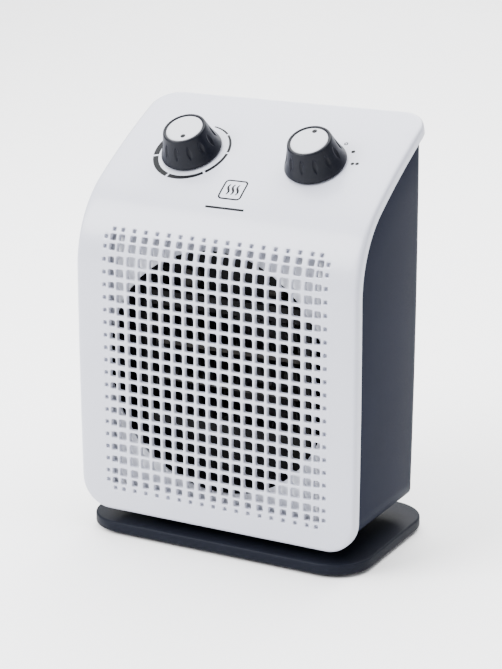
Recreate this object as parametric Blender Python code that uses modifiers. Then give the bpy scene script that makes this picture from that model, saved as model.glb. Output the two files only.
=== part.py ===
"""Ceramic fan heater, built from separate parts.

Metres, +Z up. The front faces -Y, +X is to the right of someone who looks at the front.
The origin is in the middle of the base's outline, on the surface that the rubber feet stand on.
"""

import math

import bmesh
import bpy
from mathutils import Matrix, Vector

NAME = "ceramic_fan_heater"
MM = 0.001
GAP = 0.3 * MM  # clearance between pieces that touch

# Side view of the front face: a straight stretch, a bend, then a long shallow crown.
FRONT_Y = -57.0 * MM
PANEL_BOTTOM = 15.9 * MM
STRAIGHT = 154.2 * MM
BEND_RADIUS = 64.0 * MM
BEND_TURN = math.radians(55.7)
CROWN_RADIUS = 476.0 * MM
CROWN_TURN = math.radians(10.5)
BEND_LENGTH = BEND_RADIUS * BEND_TURN
PANEL_LENGTH = STRAIGHT + BEND_LENGTH + CROWN_RADIUS * CROWN_TURN

# Front view of the panel.
HALF_WIDTH = 95.55 * MM
BOW = 0.785  # share of the half width lost per square metre of height above or below the grille
BOTTOM_CORNER = 19.3 * MM
TOP_CORNER = 17.4 * MM
CORNER_STEPS = 6
PANEL_SKIN = 2.8 * MM
PANEL_WALL = 2.4 * MM
PANEL_WRAP = 7.0 * MM
EDGE_RADIUS = 2.6 * MM

# Grille: square holes on a square grid, smaller in the two outer rows and columns.
PITCH = 8.0 * MM
GRILLE_Z = 114.0 * MM
GRILLE_S = GRILLE_Z - PANEL_BOTTOM
FULL_COLUMNS = 7  # full-size columns on each side of the middle one
FULL_ROWS = 8
FULL_HOLE = 6.4 * MM
MEDIUM_HOLE = 5.4 * MM
SMALL_HOLE = 4.2 * MM
SMALL_STEP = 0.77 * PITCH  # from the medium row or column to the small one

# Rear housing.
HOUSING_HALF_WIDTH = HALF_WIDTH - PANEL_WALL - 0.35 * MM
HOUSING_DEPTH = 3.4 * MM  # its front edge, below the panel's outer face
HOUSING_WALL = 2.2 * MM
HOUSING_CORNER = 15.5 * MM  # upright back corners
HOUSING_BOTTOM_CORNER = 16.8 * MM
HOUSING_BOTTOM = PANEL_BOTTOM + PANEL_WALL + 0.35 * MM
BACK_TOP_Y = 46.8 * MM  # the back leans out a little towards the top
BACK_TOP_Z = 258.0 * MM
BACK_LEAN = 0.0178

# Base.
BASE_WIDTH = 192.0 * MM
BASE_DEPTH = 117.0 * MM
BASE_BOTTOM = 1.5 * MM
BASE_TOP = 8.5 * MM
BASE_CORNER = 26.0 * MM
FOOT_PLACES = [(x * 74 * MM, y * 38 * MM) for x in (-1, 1) for y in (-1, 1)]
BASE_SCREW_PLACES = [(-45 * MM, 0.0), (45 * MM, 0.0)]

# Screws that hold the panel to the housing.
PANEL_SCREW_X = 80.5 * MM
PANEL_SCREW_LOW_Z = 29.5 * MM
PANEL_SCREW_HIGH_Z = 186.0 * MM

# Air path.
DUCT_RADIUS = 75.6 * MM
DUCT_WALL = 2.4 * MM
SHROUD_DEPTH = 5.4 * MM
SHROUD_THICKNESS = 1.6 * MM
DUCT_FRONT_Y = FRONT_Y + SHROUD_DEPTH + SHROUD_THICKNESS + GAP
DUCT_BACK_Y = 8.0 * MM
MOUNT_BACK_Y = DUCT_BACK_Y + GAP + 2.5 * MM

# Knobs.
KNOB_X = 42.4 * MM
KNOB_S = 245.2 * MM
KNOB_BASE_RADIUS = 19.2 * MM
KNOB_TOP_RADIUS = 13.1 * MM
KNOB_HEIGHT = 17.8 * MM
KNOB_LIFT = 0.6 * MM
SPINDLE_RADIUS = 3.0 * MM
SPINDLE_HOLE = 5.5 * MM
BRACKET_DEPTH = 12.0 * MM  # top of the control bracket, below the panel's outer face
BRACKET_SHEET = 1.2 * MM

WHITE = ((0.80, 0.81, 0.84), 0.35, 0.0)
DARK = ((0.055, 0.062, 0.090), 0.50, 0.0)
BLACK = ((0.012, 0.012, 0.014), 0.55, 0.0)
RUBBER = ((0.020, 0.020, 0.022), 0.85, 0.0)
STEEL = ((0.55, 0.55, 0.56), 0.35, 1.0)
ALUMINIUM = ((0.62, 0.63, 0.65), 0.40, 1.0)
COPPER = ((0.60, 0.26, 0.12), 0.40, 1.0)
BRONZE = ((0.45, 0.30, 0.14), 0.45, 1.0)
BRASS = ((0.65, 0.50, 0.22), 0.35, 1.0)
CERAMIC = ((0.62, 0.58, 0.50), 0.70, 0.0)
MICA = ((0.42, 0.36, 0.24), 0.60, 0.0)
GREY = ((0.25, 0.25, 0.27), 0.55, 0.0)


# --- Collections, materials and objects ---


def clear_scene():
    for obj in list(bpy.data.objects):
        bpy.data.objects.remove(obj, do_unlink=True)


def new_collection(name):
    collection = bpy.data.collections.new(name)
    bpy.context.scene.collection.children.link(collection)
    return collection


clear_scene()
PARTS = new_collection(NAME)
CUTTERS = new_collection("cutters")


def paint(obj, finish):
    colour, roughness, metallic = finish
    material = bpy.data.materials.new(obj.name)
    material.use_nodes = True
    shader = material.node_tree.nodes["Principled BSDF"]
    shader.inputs["Base Color"].default_value = (*colour, 1.0)
    shader.inputs["Roughness"].default_value = roughness
    shader.inputs["Metallic"].default_value = metallic
    obj.data.materials.clear()
    obj.data.materials.append(material)


def new_part(name, mesh, finish, smooth=True):
    obj = bpy.data.objects.new(name, mesh)
    PARTS.objects.link(obj)
    if smooth:
        mesh.shade_smooth()
        mesh.set_sharp_from_angle(angle=math.radians(35))
    paint(obj, finish)
    return obj


def mesh_from(bm, name):
    bmesh.ops.recalc_face_normals(bm, faces=bm.faces)
    mesh = bpy.data.meshes.new(name)
    bm.to_mesh(mesh)
    bm.free()
    return mesh


def frozen(obj):
    """The object's mesh with its modifiers applied."""
    bpy.context.view_layer.update()
    graph = bpy.context.evaluated_depsgraph_get()
    return bpy.data.meshes.new_from_object(obj.evaluated_get(graph))


def as_helper(obj):
    for collection in list(obj.users_collection):
        collection.objects.unlink(obj)
    CUTTERS.objects.link(obj)
    obj.hide_render = True
    obj.display_type = "WIRE"
    return obj


def helper(name, meshes_and_places):
    """A helper object of one or more meshes, each moved by its matrix."""
    bm = bmesh.new()
    for mesh, place in meshes_and_places:
        known = len(bm.verts)
        bm.from_mesh(mesh)
        bm.verts.ensure_lookup_table()
        bmesh.ops.transform(bm, matrix=place, verts=bm.verts[known:])
    return as_helper(bpy.data.objects.new(name, mesh_from(bm, name)))


def combine(obj, other, operation):
    change = obj.modifiers.new(f"{operation.lower()} {other.name}", "BOOLEAN")
    change.operation = operation
    change.object = other
    change.solver = "EXACT"


def repeat(name, mesh, places, finish):
    """Identical pieces, numbered from 1, that share one mesh."""
    for number, place in enumerate(places, 1):
        obj = new_part(f"{name}_{number}", mesh, finish)
        obj.matrix_world = place


# --- Basic shapes ---


def box_mesh(low, high):
    low, high = Vector(low), Vector(high)
    bm = bmesh.new()
    size = Matrix.Diagonal((high - low).to_4d())
    size[3][3] = 1.0
    bmesh.ops.create_cube(bm, size=1.0, matrix=Matrix.Translation((low + high) / 2) @ size)
    return mesh_from(bm, "box")


def rod_mesh(start, end, radius, steps=16):
    start, end = Vector(start), Vector(end)
    bm = bmesh.new()
    bmesh.ops.create_cone(
        bm,
        cap_ends=True,
        segments=steps,
        radius1=radius,
        radius2=radius,
        depth=(end - start).length,
        matrix=along(start, end - start) @ Matrix.Translation((0, 0, (end - start).length / 2)),
    )
    return mesh_from(bm, "rod")


def along(point, direction):
    """A frame at the point whose Z runs along the direction."""
    turn = Vector(direction).to_track_quat("Z", "Y").to_matrix().to_4x4()
    return Matrix.Translation(point) @ turn


def turned_mesh(profile, steps, closed=False):
    """A profile of (radius, height), outer side from top to bottom, turned round Z."""
    mesh = bpy.data.meshes.new("profile")
    edges = [(i, i + 1) for i in range(len(profile) - 1)]
    if closed:
        edges.append((len(profile) - 1, 0))
    mesh.from_pydata([(r, 0.0, h) for r, h in profile], edges, [])
    obj = bpy.data.objects.new("profile", mesh)
    CUTTERS.objects.link(obj)
    screw = obj.modifiers.new("turn", "SCREW")
    screw.steps = steps
    screw.render_steps = steps
    screw.use_merge_vertices = True
    screw.merge_threshold = 0.00001
    result = frozen(obj)
    bpy.data.objects.remove(obj, do_unlink=True)
    return result


def ring_mesh(inner, outer, low, high, steps):
    return turned_mesh([(outer, high), (outer, low), (inner, low), (inner, high)], steps, True)


def placed(mesh, matrix):
    mesh = mesh.copy()
    mesh.transform(matrix)
    return mesh


def add_bevel(obj, width, segments=2, angle=40):
    bevel = obj.modifiers.new("edges", "BEVEL")
    bevel.width = width
    bevel.segments = segments
    bevel.limit_method = "ANGLE"
    bevel.angle_limit = math.radians(angle)


def rounded_slab(low, high, corner, segments):
    """A box whose four upright edges are rounded."""
    bm = bmesh.new()
    bm.from_mesh(box_mesh(low, high))
    upright = [e for e in bm.edges if abs((e.verts[0].co - e.verts[1].co).z) > (high[2] - low[2]) / 2]
    bmesh.ops.bevel(bm, geom=upright, offset=corner, segments=segments, profile=0.5, affect="EDGES")
    return mesh_from(bm, "slab")


def smooth_route(points, step):
    """Points about one step apart on a smooth curve through the given ones."""
    points = [Vector(p) for p in points]
    ends = [2 * points[0] - points[1], *points, 2 * points[-1] - points[-2]]
    route = []
    for a, b, c, d in zip(ends, ends[1:], ends[2:], ends[3:]):
        count = max(1, round((c - b).length / step))
        for i in range(count):
            t = i / count
            route.append(
                0.5 * (2 * b + (c - a) * t + (2 * a - 5 * b + 4 * c - d) * t**2 + (3 * b - a - 3 * c + d) * t**3)
            )
    route.append(points[-1])
    return route


def lead(name, points, radius, finish):
    """An insulated wire through the given points."""
    route = smooth_route(points, 12 * MM)
    curve = bpy.data.curves.new(name, "CURVE")
    curve.dimensions = "3D"
    curve.bevel_depth = radius
    curve.bevel_resolution = 1
    curve.use_fill_caps = True
    spline = curve.splines.new("POLY")
    spline.points.add(len(route) - 1)
    for point, place in zip(spline.points, route):
        point.co = (*place, 1.0)
    obj = bpy.data.objects.new(name, curve)
    PARTS.objects.link(obj)
    paint(obj, finish)
    return obj


def screw_mesh(head_radius, head_height, shank_radius, length, steps=10):
    """A pan-head screw: the head stands on Z = 0 and the shank runs down."""
    shoulder = head_height * 0.55
    return turned_mesh(
        [
            (0.0, head_height),
            (head_radius * 0.62, head_height),
            (head_radius, shoulder),
            (head_radius, 0.0),
            (shank_radius, 0.0),
            (shank_radius, -length + shank_radius),
            (0.0, -length),
        ],
        steps,
    )


# --- The front face's curved surface ---


def face_line(s, depth=0.0):
    """Side view at arc length s from the bottom edge: y, z and the slope, at a depth below the face."""
    if s <= STRAIGHT:
        y = FRONT_Y
        z = PANEL_BOTTOM + s
        slope = math.pi / 2
    elif s <= STRAIGHT + BEND_LENGTH:
        turn = (s - STRAIGHT) / BEND_RADIUS
        y = FRONT_Y + BEND_RADIUS * (1 - math.cos(turn))
        z = PANEL_BOTTOM + STRAIGHT + BEND_RADIUS * math.sin(turn)
        slope = math.pi / 2 - turn
    else:
        start = math.pi / 2 - BEND_TURN
        slope = start - (s - STRAIGHT - BEND_LENGTH) / CROWN_RADIUS
        bend_y, bend_z, _ = face_line(STRAIGHT + BEND_LENGTH)
        y = bend_y + CROWN_RADIUS * (math.sin(start) - math.sin(slope))
        z = bend_z + CROWN_RADIUS * (math.cos(slope) - math.cos(start))
    return y + depth * math.sin(slope), z - depth * math.cos(slope), slope


def on_face(x, s, depth):
    y, z, _ = face_line(s, depth)
    return Vector((x, y, z))


def bow(z):
    """The sides bow out a little at the grille's height."""
    return 1 - BOW * (z - GRILLE_Z) ** 2


def face_y_in_bend(z):
    turn = math.asin((z - PANEL_BOTTOM - STRAIGHT) / BEND_RADIUS)
    return FRONT_Y + BEND_RADIUS * (1 - math.cos(turn))


# --- Front panel ---


def grid(full_count):
    """Centres and half sizes of the holes along one direction, from the middle outwards and mirrored."""
    half = [(i * PITCH, FULL_HOLE / 2) for i in range(full_count + 1)]
    half.append(((full_count + 1) * PITCH, MEDIUM_HOLE / 2))
    half.append(((full_count + 1) * PITCH + SMALL_STEP, SMALL_HOLE / 2))
    return [(-at, size) for at, size in reversed(half[1:])] + half


COLUMNS = grid(FULL_COLUMNS)
ROWS = [(GRILLE_S + at, size) for at, size in grid(FULL_ROWS)]
# The first row whose upper edge lies in the bend, where every line needs its own points.
BEND_ROW = next(i for i, (s, half) in enumerate(ROWS) if s + half > STRAIGHT)


def side_lines():
    """Arc lengths at which the panel's straight sides have a point."""
    lines = [STRAIGHT * share for share in (0.36, 0.62, 0.84)]
    for s, half in ROWS[BEND_ROW:]:
        lines += [s - half, s + half]
    bend_end = STRAIGHT + BEND_LENGTH
    lines += [lines[-1] + (bend_end - lines[-1]) * i / 4 for i in range(1, 5)]
    lines.append((bend_end + PANEL_LENGTH - TOP_CORNER) / 2)
    return lines


SIDE_LINES = side_lines()


def outline(inset):
    """Right half of the panel's outline as (x, s), from the bottom edge up, moved inwards by the inset."""
    points = []
    for step in range(CORNER_STEPS + 1):
        angle = math.pi / 2 * (step / CORNER_STEPS - 1)
        radius = BOTTOM_CORNER - inset
        across = HALF_WIDTH - BOTTOM_CORNER + radius * math.cos(angle)
        points.append((across, BOTTOM_CORNER + radius * math.sin(angle)))
    points += [(HALF_WIDTH - inset, s) for s in SIDE_LINES]
    for step in range(CORNER_STEPS + 1):
        angle = math.pi / 2 * step / CORNER_STEPS
        radius = TOP_CORNER - inset
        across = HALF_WIDTH - TOP_CORNER + radius * math.cos(angle)
        points.append((across, PANEL_LENGTH - TOP_CORNER + radius * math.sin(angle)))
    return [(x * bow(face_line(s)[1]), s) for x, s in points]


def outline_ring(bm, inset, depth):
    """The outline's vertices: the right side upwards, and the left side upwards."""
    right = [bm.verts.new(on_face(x, s, depth)) for x, s in outline(inset)]
    left = [bm.verts.new(on_face(-x, s, depth)) for x, s in outline(inset)]
    return right, left


def bridge(bm, first, second):
    """Faces between two outline rings."""
    loops = [right + left[::-1] for right, left in (first, second)]
    count = len(loops[0])
    for i in range(count):
        j = (i + 1) % count
        bm.faces.new((loops[0][i], loops[0][j], loops[1][j], loops[1][i]))


def hole_corners(bm, depth):
    """Vertices of every hole as [row][column][low left, low right, high right, high left]."""
    rows = []
    for s, row_half in ROWS:
        row = []
        for x, column_half in COLUMNS:
            half = min(row_half, column_half)
            corners = ((-half, -half), (half, -half), (half, half), (-half, half))
            row.append([bm.verts.new(on_face(x + dx, s + ds, depth)) for dx, ds in corners])
        rows.append(row)
    return rows


def grille_bars(bm, holes):
    """The faces between the holes, row by row."""
    for row in holes:
        for a, b in zip(row, row[1:]):
            bm.faces.new((a[1], b[0], b[3], a[2]))
    for row, above in zip(holes, holes[1:]):
        for a, b in zip(row, above):
            bm.faces.new((a[3], a[2], b[1], b[0]))
        for i in range(len(row) - 1):
            bm.faces.new((row[i][2], row[i + 1][3], above[i + 1][0], above[i][1]))


def skin(bm, ring, holes):
    """One whole face of the panel, outer or inner, round its holes."""
    right, left = ring
    low = CORNER_STEPS
    first_line = CORNER_STEPS + 1 + 3  # the outline point level with the lower edge of the first bent row
    grille_bars(bm, holes)
    bottom_edge = [corner for hole in reversed(holes[0]) for corner in (hole[1], hole[0])]
    bm.faces.new((*left[low::-1], *right[: low + 1], *bottom_edge))
    flat = holes[:BEND_ROW]
    right_edge = [corner for row in reversed(flat) for corner in (row[-1][2], row[-1][1])]
    left_edge = [corner for row in flat for corner in (row[0][0], row[0][3])]
    bent = holes[BEND_ROW]
    bm.faces.new((*right[low : first_line + 1], bent[-1][1], *right_edge))
    bm.faces.new((*left[first_line : low - 1 : -1], *left_edge, bent[0][0]))
    line = first_line
    for i, row in enumerate(holes[BEND_ROW:]):
        bm.faces.new((row[-1][1], right[line], right[line + 1], row[-1][2]))
        bm.faces.new((left[line], row[0][0], row[0][3], left[line + 1]))
        line += 1
        above = holes[BEND_ROW + i + 1] if BEND_ROW + i + 1 < len(holes) else None
        if above:
            bm.faces.new((row[-1][2], right[line], right[line + 1], above[-1][1]))
            bm.faces.new((left[line], row[0][3], above[0][0], left[line + 1]))
            line += 1
    top_edge = [corner for hole in holes[-1] for corner in (hole[3], hole[2])]
    bm.faces.new((left[line], *top_edge, right[line], right[line + 1], left[line + 1]))
    for i in range(line + 1, len(right) - 1):
        bm.faces.new((left[i], right[i], right[i + 1], left[i + 1]))


def knob_frame(x):
    """A frame on the panel's face with Z along a knob's axis and Y up the slope."""
    y, z, slope = face_line(KNOB_S)
    out = Vector((0, -math.sin(slope), math.cos(slope)))
    up = Vector((0, math.cos(slope), math.sin(slope)))
    frame = Matrix((Vector((1, 0, 0)), up, out)).transposed().to_4x4()
    return Matrix.Translation((x, y, z)) @ frame


def panel_screw_places():
    return [(x, z) for x in (-PANEL_SCREW_X, PANEL_SCREW_X) for z in (PANEL_SCREW_LOW_Z, PANEL_SCREW_HIGH_Z)]


def boss_root_y(z):
    """Where a panel boss starts, inside the panel's skin."""
    return FRONT_Y + 1.6 * MM if z < GRILLE_Z else face_y_in_bend(z) + 1.9 * MM


BOSS_LENGTH = 11.0 * MM


def make_front_panel():
    bm = bmesh.new()
    rings = []
    for step in range(4):
        turn = math.radians(90 - 30 * step)
        inset = EDGE_RADIUS * (1 - math.cos(turn))
        rings.append(outline_ring(bm, inset, EDGE_RADIUS * (1 - math.sin(turn))))
    rings.append(outline_ring(bm, 0.0, PANEL_WRAP))
    rings.append(outline_ring(bm, PANEL_WALL, PANEL_WRAP))
    rings.append(outline_ring(bm, PANEL_WALL, PANEL_SKIN))
    for first, second in zip(rings, rings[1:]):
        bridge(bm, first, second)
    front = hole_corners(bm, 0.0)
    back = hole_corners(bm, PANEL_SKIN)
    skin(bm, rings[0], front)
    skin(bm, rings[-1], back)
    for front_row, back_row in zip(front, back):
        for a, b in zip(front_row, back_row):
            for i in range(4):
                j = (i + 1) % 4
                bm.faces.new((a[i], a[j], b[j], b[i]))
    panel = new_part("front_panel", mesh_from(bm, "front_panel"), WHITE)

    bosses = []
    bores = []
    for x, z in panel_screw_places():
        root = boss_root_y(z)
        bosses.append((rod_mesh((x, root, z), (x, root + BOSS_LENGTH, z), 4.3 * MM, 12), Matrix()))
        bores.append(
            (rod_mesh((x, root + 3 * MM, z), (x, root + BOSS_LENGTH + MM, z), 1.9 * MM, 10), Matrix())
        )
    for x in (-KNOB_X, KNOB_X):
        for side in (-1, 1):
            frame = knob_frame(x)
            foot = frame @ Vector((side * 22 * MM, 0, -1.6 * MM))
            end = frame @ Vector((side * 22 * MM, 0, -(BRACKET_DEPTH - GAP)))
            bosses.append((rod_mesh(foot, end, 3.6 * MM, 10), Matrix()))
            bore_start = frame @ Vector((side * 22 * MM, 0, -4.5 * MM))
            bore_end = frame @ Vector((side * 22 * MM, 0, -(BRACKET_DEPTH + MM)))
            bores.append((rod_mesh(bore_start, bore_end, 1.6 * MM, 8), Matrix()))
        hole_start = knob_frame(x) @ Vector((0, 0, -6 * MM))
        hole_end = knob_frame(x) @ Vector((0, 0, 2 * MM))
        bores.append((rod_mesh(hole_start, hole_end, SPINDLE_HOLE, 16), Matrix()))
    combine(panel, helper("panel_bosses", bosses), "UNION")
    combine(panel, helper("panel_bores", bores), "DIFFERENCE")
    return panel


# --- Rear housing ---


def back_y(z):
    return BACK_TOP_Y + BACK_LEAN * (z - BACK_TOP_Z)


def behind_face_mesh(front_depth):
    """Everything behind the front face, from a depth below it, wider than the housing."""
    bend = [STRAIGHT + BEND_LENGTH * i / 7 for i in range(8)]
    crown = [bend[-1] + 40 * MM, PANEL_LENGTH - PANEL_WALL - 3.2 * MM]
    line = [(FRONT_Y + front_depth, 0.0)]
    line += [face_line(s, front_depth)[:2] for s in bend]
    # The crown's edge lies deeper, clear of the panel's rounded top corners.
    line += [face_line(s, front_depth + 2.2 * MM)[:2] for s in crown]
    line += [(100 * MM, line[-1][1]), (100 * MM, 0.0)]
    bm = bmesh.new()
    near = [bm.verts.new((-120 * MM, y, z)) for y, z in line]
    far = [bm.verts.new((120 * MM, y, z)) for y, z in line]
    bm.faces.new(near)
    bm.faces.new(far[::-1])
    for i in range(len(line)):
        j = (i + 1) % len(line)
        bm.faces.new((near[i], near[j], far[j], far[i]))
    return mesh_from(bm, "behind_face")


def housing_prism(name, front_depth, half_width, inset):
    """The housing's outer shape moved inwards by the inset: what three simple prisms share."""
    bottom = HOUSING_BOTTOM + inset
    wide = half_width + 0.05 * MM
    low, high = (-wide, -100 * MM, bottom - 10 * MM), (wide, BACK_TOP_Y - inset, 300 * MM)
    plan = rounded_slab(low, high, HOUSING_CORNER - inset, 7)
    for vert in plan.vertices:
        vert.co.y += BACK_LEAN * (vert.co.z - BACK_TOP_Z)
    upright = Matrix.Rotation(math.pi / 2, 4, "X")
    low, high = (-half_width, bottom, -120 * MM), (half_width, 400 * MM, 120 * MM)
    section = placed(rounded_slab(low, high, HOUSING_BOTTOM_CORNER - inset, 7), upright)
    shape = helper(name, [(plan, Matrix())])
    combine(shape, helper(f"{name}_section", [(section, Matrix())]), "INTERSECT")
    combine(shape, helper(f"{name}_side", [(behind_face_mesh(front_depth), Matrix())]), "INTERSECT")
    bm = bmesh.new()
    bm.from_mesh(frozen(shape))
    bpy.data.objects.remove(shape, do_unlink=True)
    for z in (60 * MM, 100 * MM, 140 * MM, 180 * MM, 220 * MM):
        geometry = [*bm.verts, *bm.edges, *bm.faces]
        bmesh.ops.bisect_plane(bm, geom=geometry, plane_co=(0, 0, z), plane_no=(0, 0, 1))
    for vert in bm.verts:
        vert.co.x *= bow(vert.co.z)
    bmesh.ops.triangulate(bm, faces=bm.faces)  # the bow leaves four-sided faces that aren't flat
    return mesh_from(bm, name)


SLOT_HEIGHT = 3.6 * MM
SLOT_PITCH = 10.0 * MM
SLOT_ROWS = 12
SLOT_COLUMNS = [(-58 * MM, -4 * MM), (4 * MM, 58 * MM)]
TUBE_END = 0.5 * MM  # gap between a housing tube and the panel boss in front of it
GLAND_X = 52.0 * MM
GLAND_Z = 38.0 * MM


def tube_front_y(z):
    return boss_root_y(z) + BOSS_LENGTH + TUBE_END


def make_rear_housing():
    half = HOUSING_HALF_WIDTH
    outer = housing_prism("rear_housing", HOUSING_DEPTH, half, 0.0)
    housing = new_part("rear_housing", outer, DARK)
    hollow = housing_prism("housing_hollow", -4 * MM, half - HOUSING_WALL, HOUSING_WALL)
    combine(housing, helper("housing_hollow", [(hollow, Matrix())]), "DIFFERENCE")

    tubes = []
    cuts = []
    bores = []
    for x, z in panel_screw_places():
        front = tube_front_y(z)
        back = back_y(z) + 5 * MM
        tubes.append((rod_mesh((x, front, z), (x, back, z), 5.0 * MM, 12), Matrix()))
        cuts.append((rod_mesh((x, front + 2.5 * MM, z), (x, back + 8 * MM, z), 3.9 * MM, 10), Matrix()))
        bores.append((rod_mesh((x, front - MM, z), (x, front + 3.0 * MM, z), 1.9 * MM, 10), Matrix()))
    for x, y in BASE_SCREW_PLACES:
        floor = HOUSING_BOTTOM
        tubes.append((rod_mesh((x, y, floor + MM), (x, y, floor + 11 * MM), 4.4 * MM, 10), Matrix()))
        cuts.append((rod_mesh((x, y, floor - MM), (x, y, floor + 12 * MM), 1.9 * MM, 8), Matrix()))
    for row in range(SLOT_ROWS):
        z = GRILLE_Z + (row - (SLOT_ROWS - 1) / 2) * SLOT_PITCH
        for low, high in SLOT_COLUMNS:
            slot = box_mesh((low, 30 * MM, z - SLOT_HEIGHT / 2), (high, 60 * MM, z + SLOT_HEIGHT / 2))
            cuts.append((slot, Matrix()))
    cuts.append((rod_mesh((GLAND_X, 30 * MM, GLAND_Z), (GLAND_X, 60 * MM, GLAND_Z), 7.0 * MM, 16), Matrix()))
    # The tubes end inside the housing's wall, also where its corners are round.
    trim = housing_prism("tube_trim", HOUSING_DEPTH + MM, half - MM, MM)
    tube_helper = helper("housing_tubes", tubes)
    combine(tube_helper, helper("tube_trim", [(trim, Matrix())]), "INTERSECT")
    combine(housing, tube_helper, "UNION")
    combine(housing, helper("housing_cuts", cuts), "DIFFERENCE")
    combine(housing, helper("housing_bores", bores), "DIFFERENCE")


PANEL_SCREW = screw_mesh(3.5 * MM, 2.6 * MM, 1.55 * MM, 10 * MM)
SHORT_SCREW = screw_mesh(2.8 * MM, 1.8 * MM, 1.25 * MM, 6.5 * MM, 8)


def make_housing_screws():
    places = []
    for x, z in panel_screw_places():
        seat = tube_front_y(z) + 2.5 * MM + GAP
        places.append(along((x, seat, z), (0, 1, 0)))
    repeat("housing_screw", PANEL_SCREW, places, STEEL)


# --- Base ---

PEDESTAL = ((-62 * MM, -34 * MM), (62 * MM, 34 * MM))


def make_base():
    half_x, half_y = BASE_WIDTH / 2, BASE_DEPTH / 2
    slab = rounded_slab((-half_x, -half_y, BASE_BOTTOM), (half_x, half_y, BASE_TOP), BASE_CORNER, 7)
    plate = new_part("base_plate", slab, DARK)
    add_bevel(plate, 2.6 * MM, 2)
    pockets = []
    for x, y in FOOT_PLACES:
        pockets.append((rod_mesh((x, y, 0), (x, y, BASE_BOTTOM + 1.2 * MM), 7.3 * MM, 16), Matrix()))
    bores = []
    for x, y in BASE_SCREW_PLACES:
        pockets.append((rod_mesh((x, y, 0), (x, y, 4.2 * MM), 4.4 * MM, 10), Matrix()))
        bores.append((rod_mesh((x, y, 4.0 * MM), (x, y, 10 * MM), 2.2 * MM, 10), Matrix()))
    combine(plate, helper("base_pockets", pockets), "DIFFERENCE")
    combine(plate, helper("base_bores", bores), "DIFFERENCE")

    (x0, y0), (x1, y1) = PEDESTAL
    block = rounded_slab((x0, y0, BASE_TOP + GAP), (x1, y1, HOUSING_BOTTOM - GAP), 12 * MM, 4)
    pedestal = new_part("base_pedestal", block, DARK)
    holes = []
    for x, y in BASE_SCREW_PLACES:
        holes.append((rod_mesh((x, y, 5 * MM), (x, y, 25 * MM), 2.2 * MM, 10), Matrix()))
    low = (x0 + 3 * MM, y0 + 3 * MM, BASE_TOP - MM)
    high = (x1 - 3 * MM, y1 - 3 * MM, HOUSING_BOTTOM - 3 * MM)
    hollow = rounded_slab(low, high, 9 * MM, 3)
    combine(pedestal, helper("pedestal_hollow", [(hollow, Matrix())]), "DIFFERENCE")
    combine(pedestal, helper("pedestal_holes", holes), "DIFFERENCE")

    foot = turned_mesh(
        [(0, 2.3 * MM), (6.9 * MM, 2.3 * MM), (7.0 * MM, 0.6 * MM), (6.4 * MM, 0.0), (0, 0)], 16
    )
    feet = [Matrix.Translation((x, y, 0)) for x, y in FOOT_PLACES]
    repeat("rubber_foot", foot, feet, RUBBER)
    long_screw = screw_mesh(3.4 * MM, 1.9 * MM, 1.5 * MM, 21 * MM, 8)
    seats = [along((x, y, 3.9 * MM), (0, 0, -1)) for x, y in BASE_SCREW_PLACES]
    repeat("base_screw", long_screw, seats, STEEL)


# --- Air path: shroud, duct and ceramic heating element ---


def make_air_shroud():
    """A plate that follows the panel's inside and closes off all but a round outlet."""
    half = 79 * MM
    low, high = GRILLE_S - 86 * MM, GRILLE_S + 84 * MM
    lines = [low, low + 80 * MM, STRAIGHT]
    lines += [STRAIGHT + (high - STRAIGHT) * i / 4 for i in range(1, 5)]
    bm = bmesh.new()
    rings = []
    for s in lines:
        ring = []
        for x, depth in ((-half, 0), (half, 0), (half, SHROUD_THICKNESS), (-half, SHROUD_THICKNESS)):
            ring.append(bm.verts.new(on_face(x, s, SHROUD_DEPTH + depth)))
        rings.append(ring)
    for a, b in zip(rings, rings[1:]):
        for i in range(4):
            j = (i + 1) % 4
            bm.faces.new((a[i], a[j], b[j], b[i]))
    bm.faces.new(rings[0])
    bm.faces.new(rings[-1])
    shroud = new_part("air_shroud", mesh_from(bm, "air_shroud"), WHITE)
    outlet = rod_mesh((0, -70 * MM, GRILLE_Z), (0, -20 * MM, GRILLE_Z), DUCT_RADIUS, 48)
    cuts = [(outlet, Matrix())]
    for x, z in panel_screw_places():
        cuts.append((rod_mesh((x, -70 * MM, z), (x, -20 * MM, z), 5.6 * MM, 12), Matrix()))
    combine(shroud, helper("shroud_cuts", cuts), "DIFFERENCE")


WIRE_HOLE = (GRILLE_Z + 16 * MM, -32 * MM)  # z and y of the hole in the duct for the element's leads


def make_duct():
    """A tube from the shroud to the motor mount. Its front edge is cut to the shroud's curve."""
    mesh = ring_mesh(DUCT_RADIUS, DUCT_RADIUS + DUCT_WALL, 0, DUCT_BACK_Y - DUCT_FRONT_Y, 48)
    duct = new_part("air_duct", placed(mesh, along((0, DUCT_FRONT_Y, GRILLE_Z), (0, 1, 0))), BLACK)
    top_clear = box_mesh((-70 * MM, -60 * MM, 165 * MM), (70 * MM, -44 * MM, 200 * MM))
    z, y = WIRE_HOLE
    wire_hole = rod_mesh((60 * MM, y, z), (90 * MM, y, z), 4 * MM, 10)
    combine(duct, helper("duct_cuts", [(top_clear, Matrix()), (wire_hole, Matrix())]), "DIFFERENCE")


ELEMENT_FRONT = -40 * MM
ELEMENT_BACK = -25 * MM
ELEMENT_HALF = (57 * MM, 44 * MM)
WINDOW_HALF = (52 * MM, 35 * MM)
FIN_ROW_HEIGHT = 20 * MM
BAR_HEIGHT = 3 * MM
FIN_PITCH = 6 * MM
BAR_COUNT = 2


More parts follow.
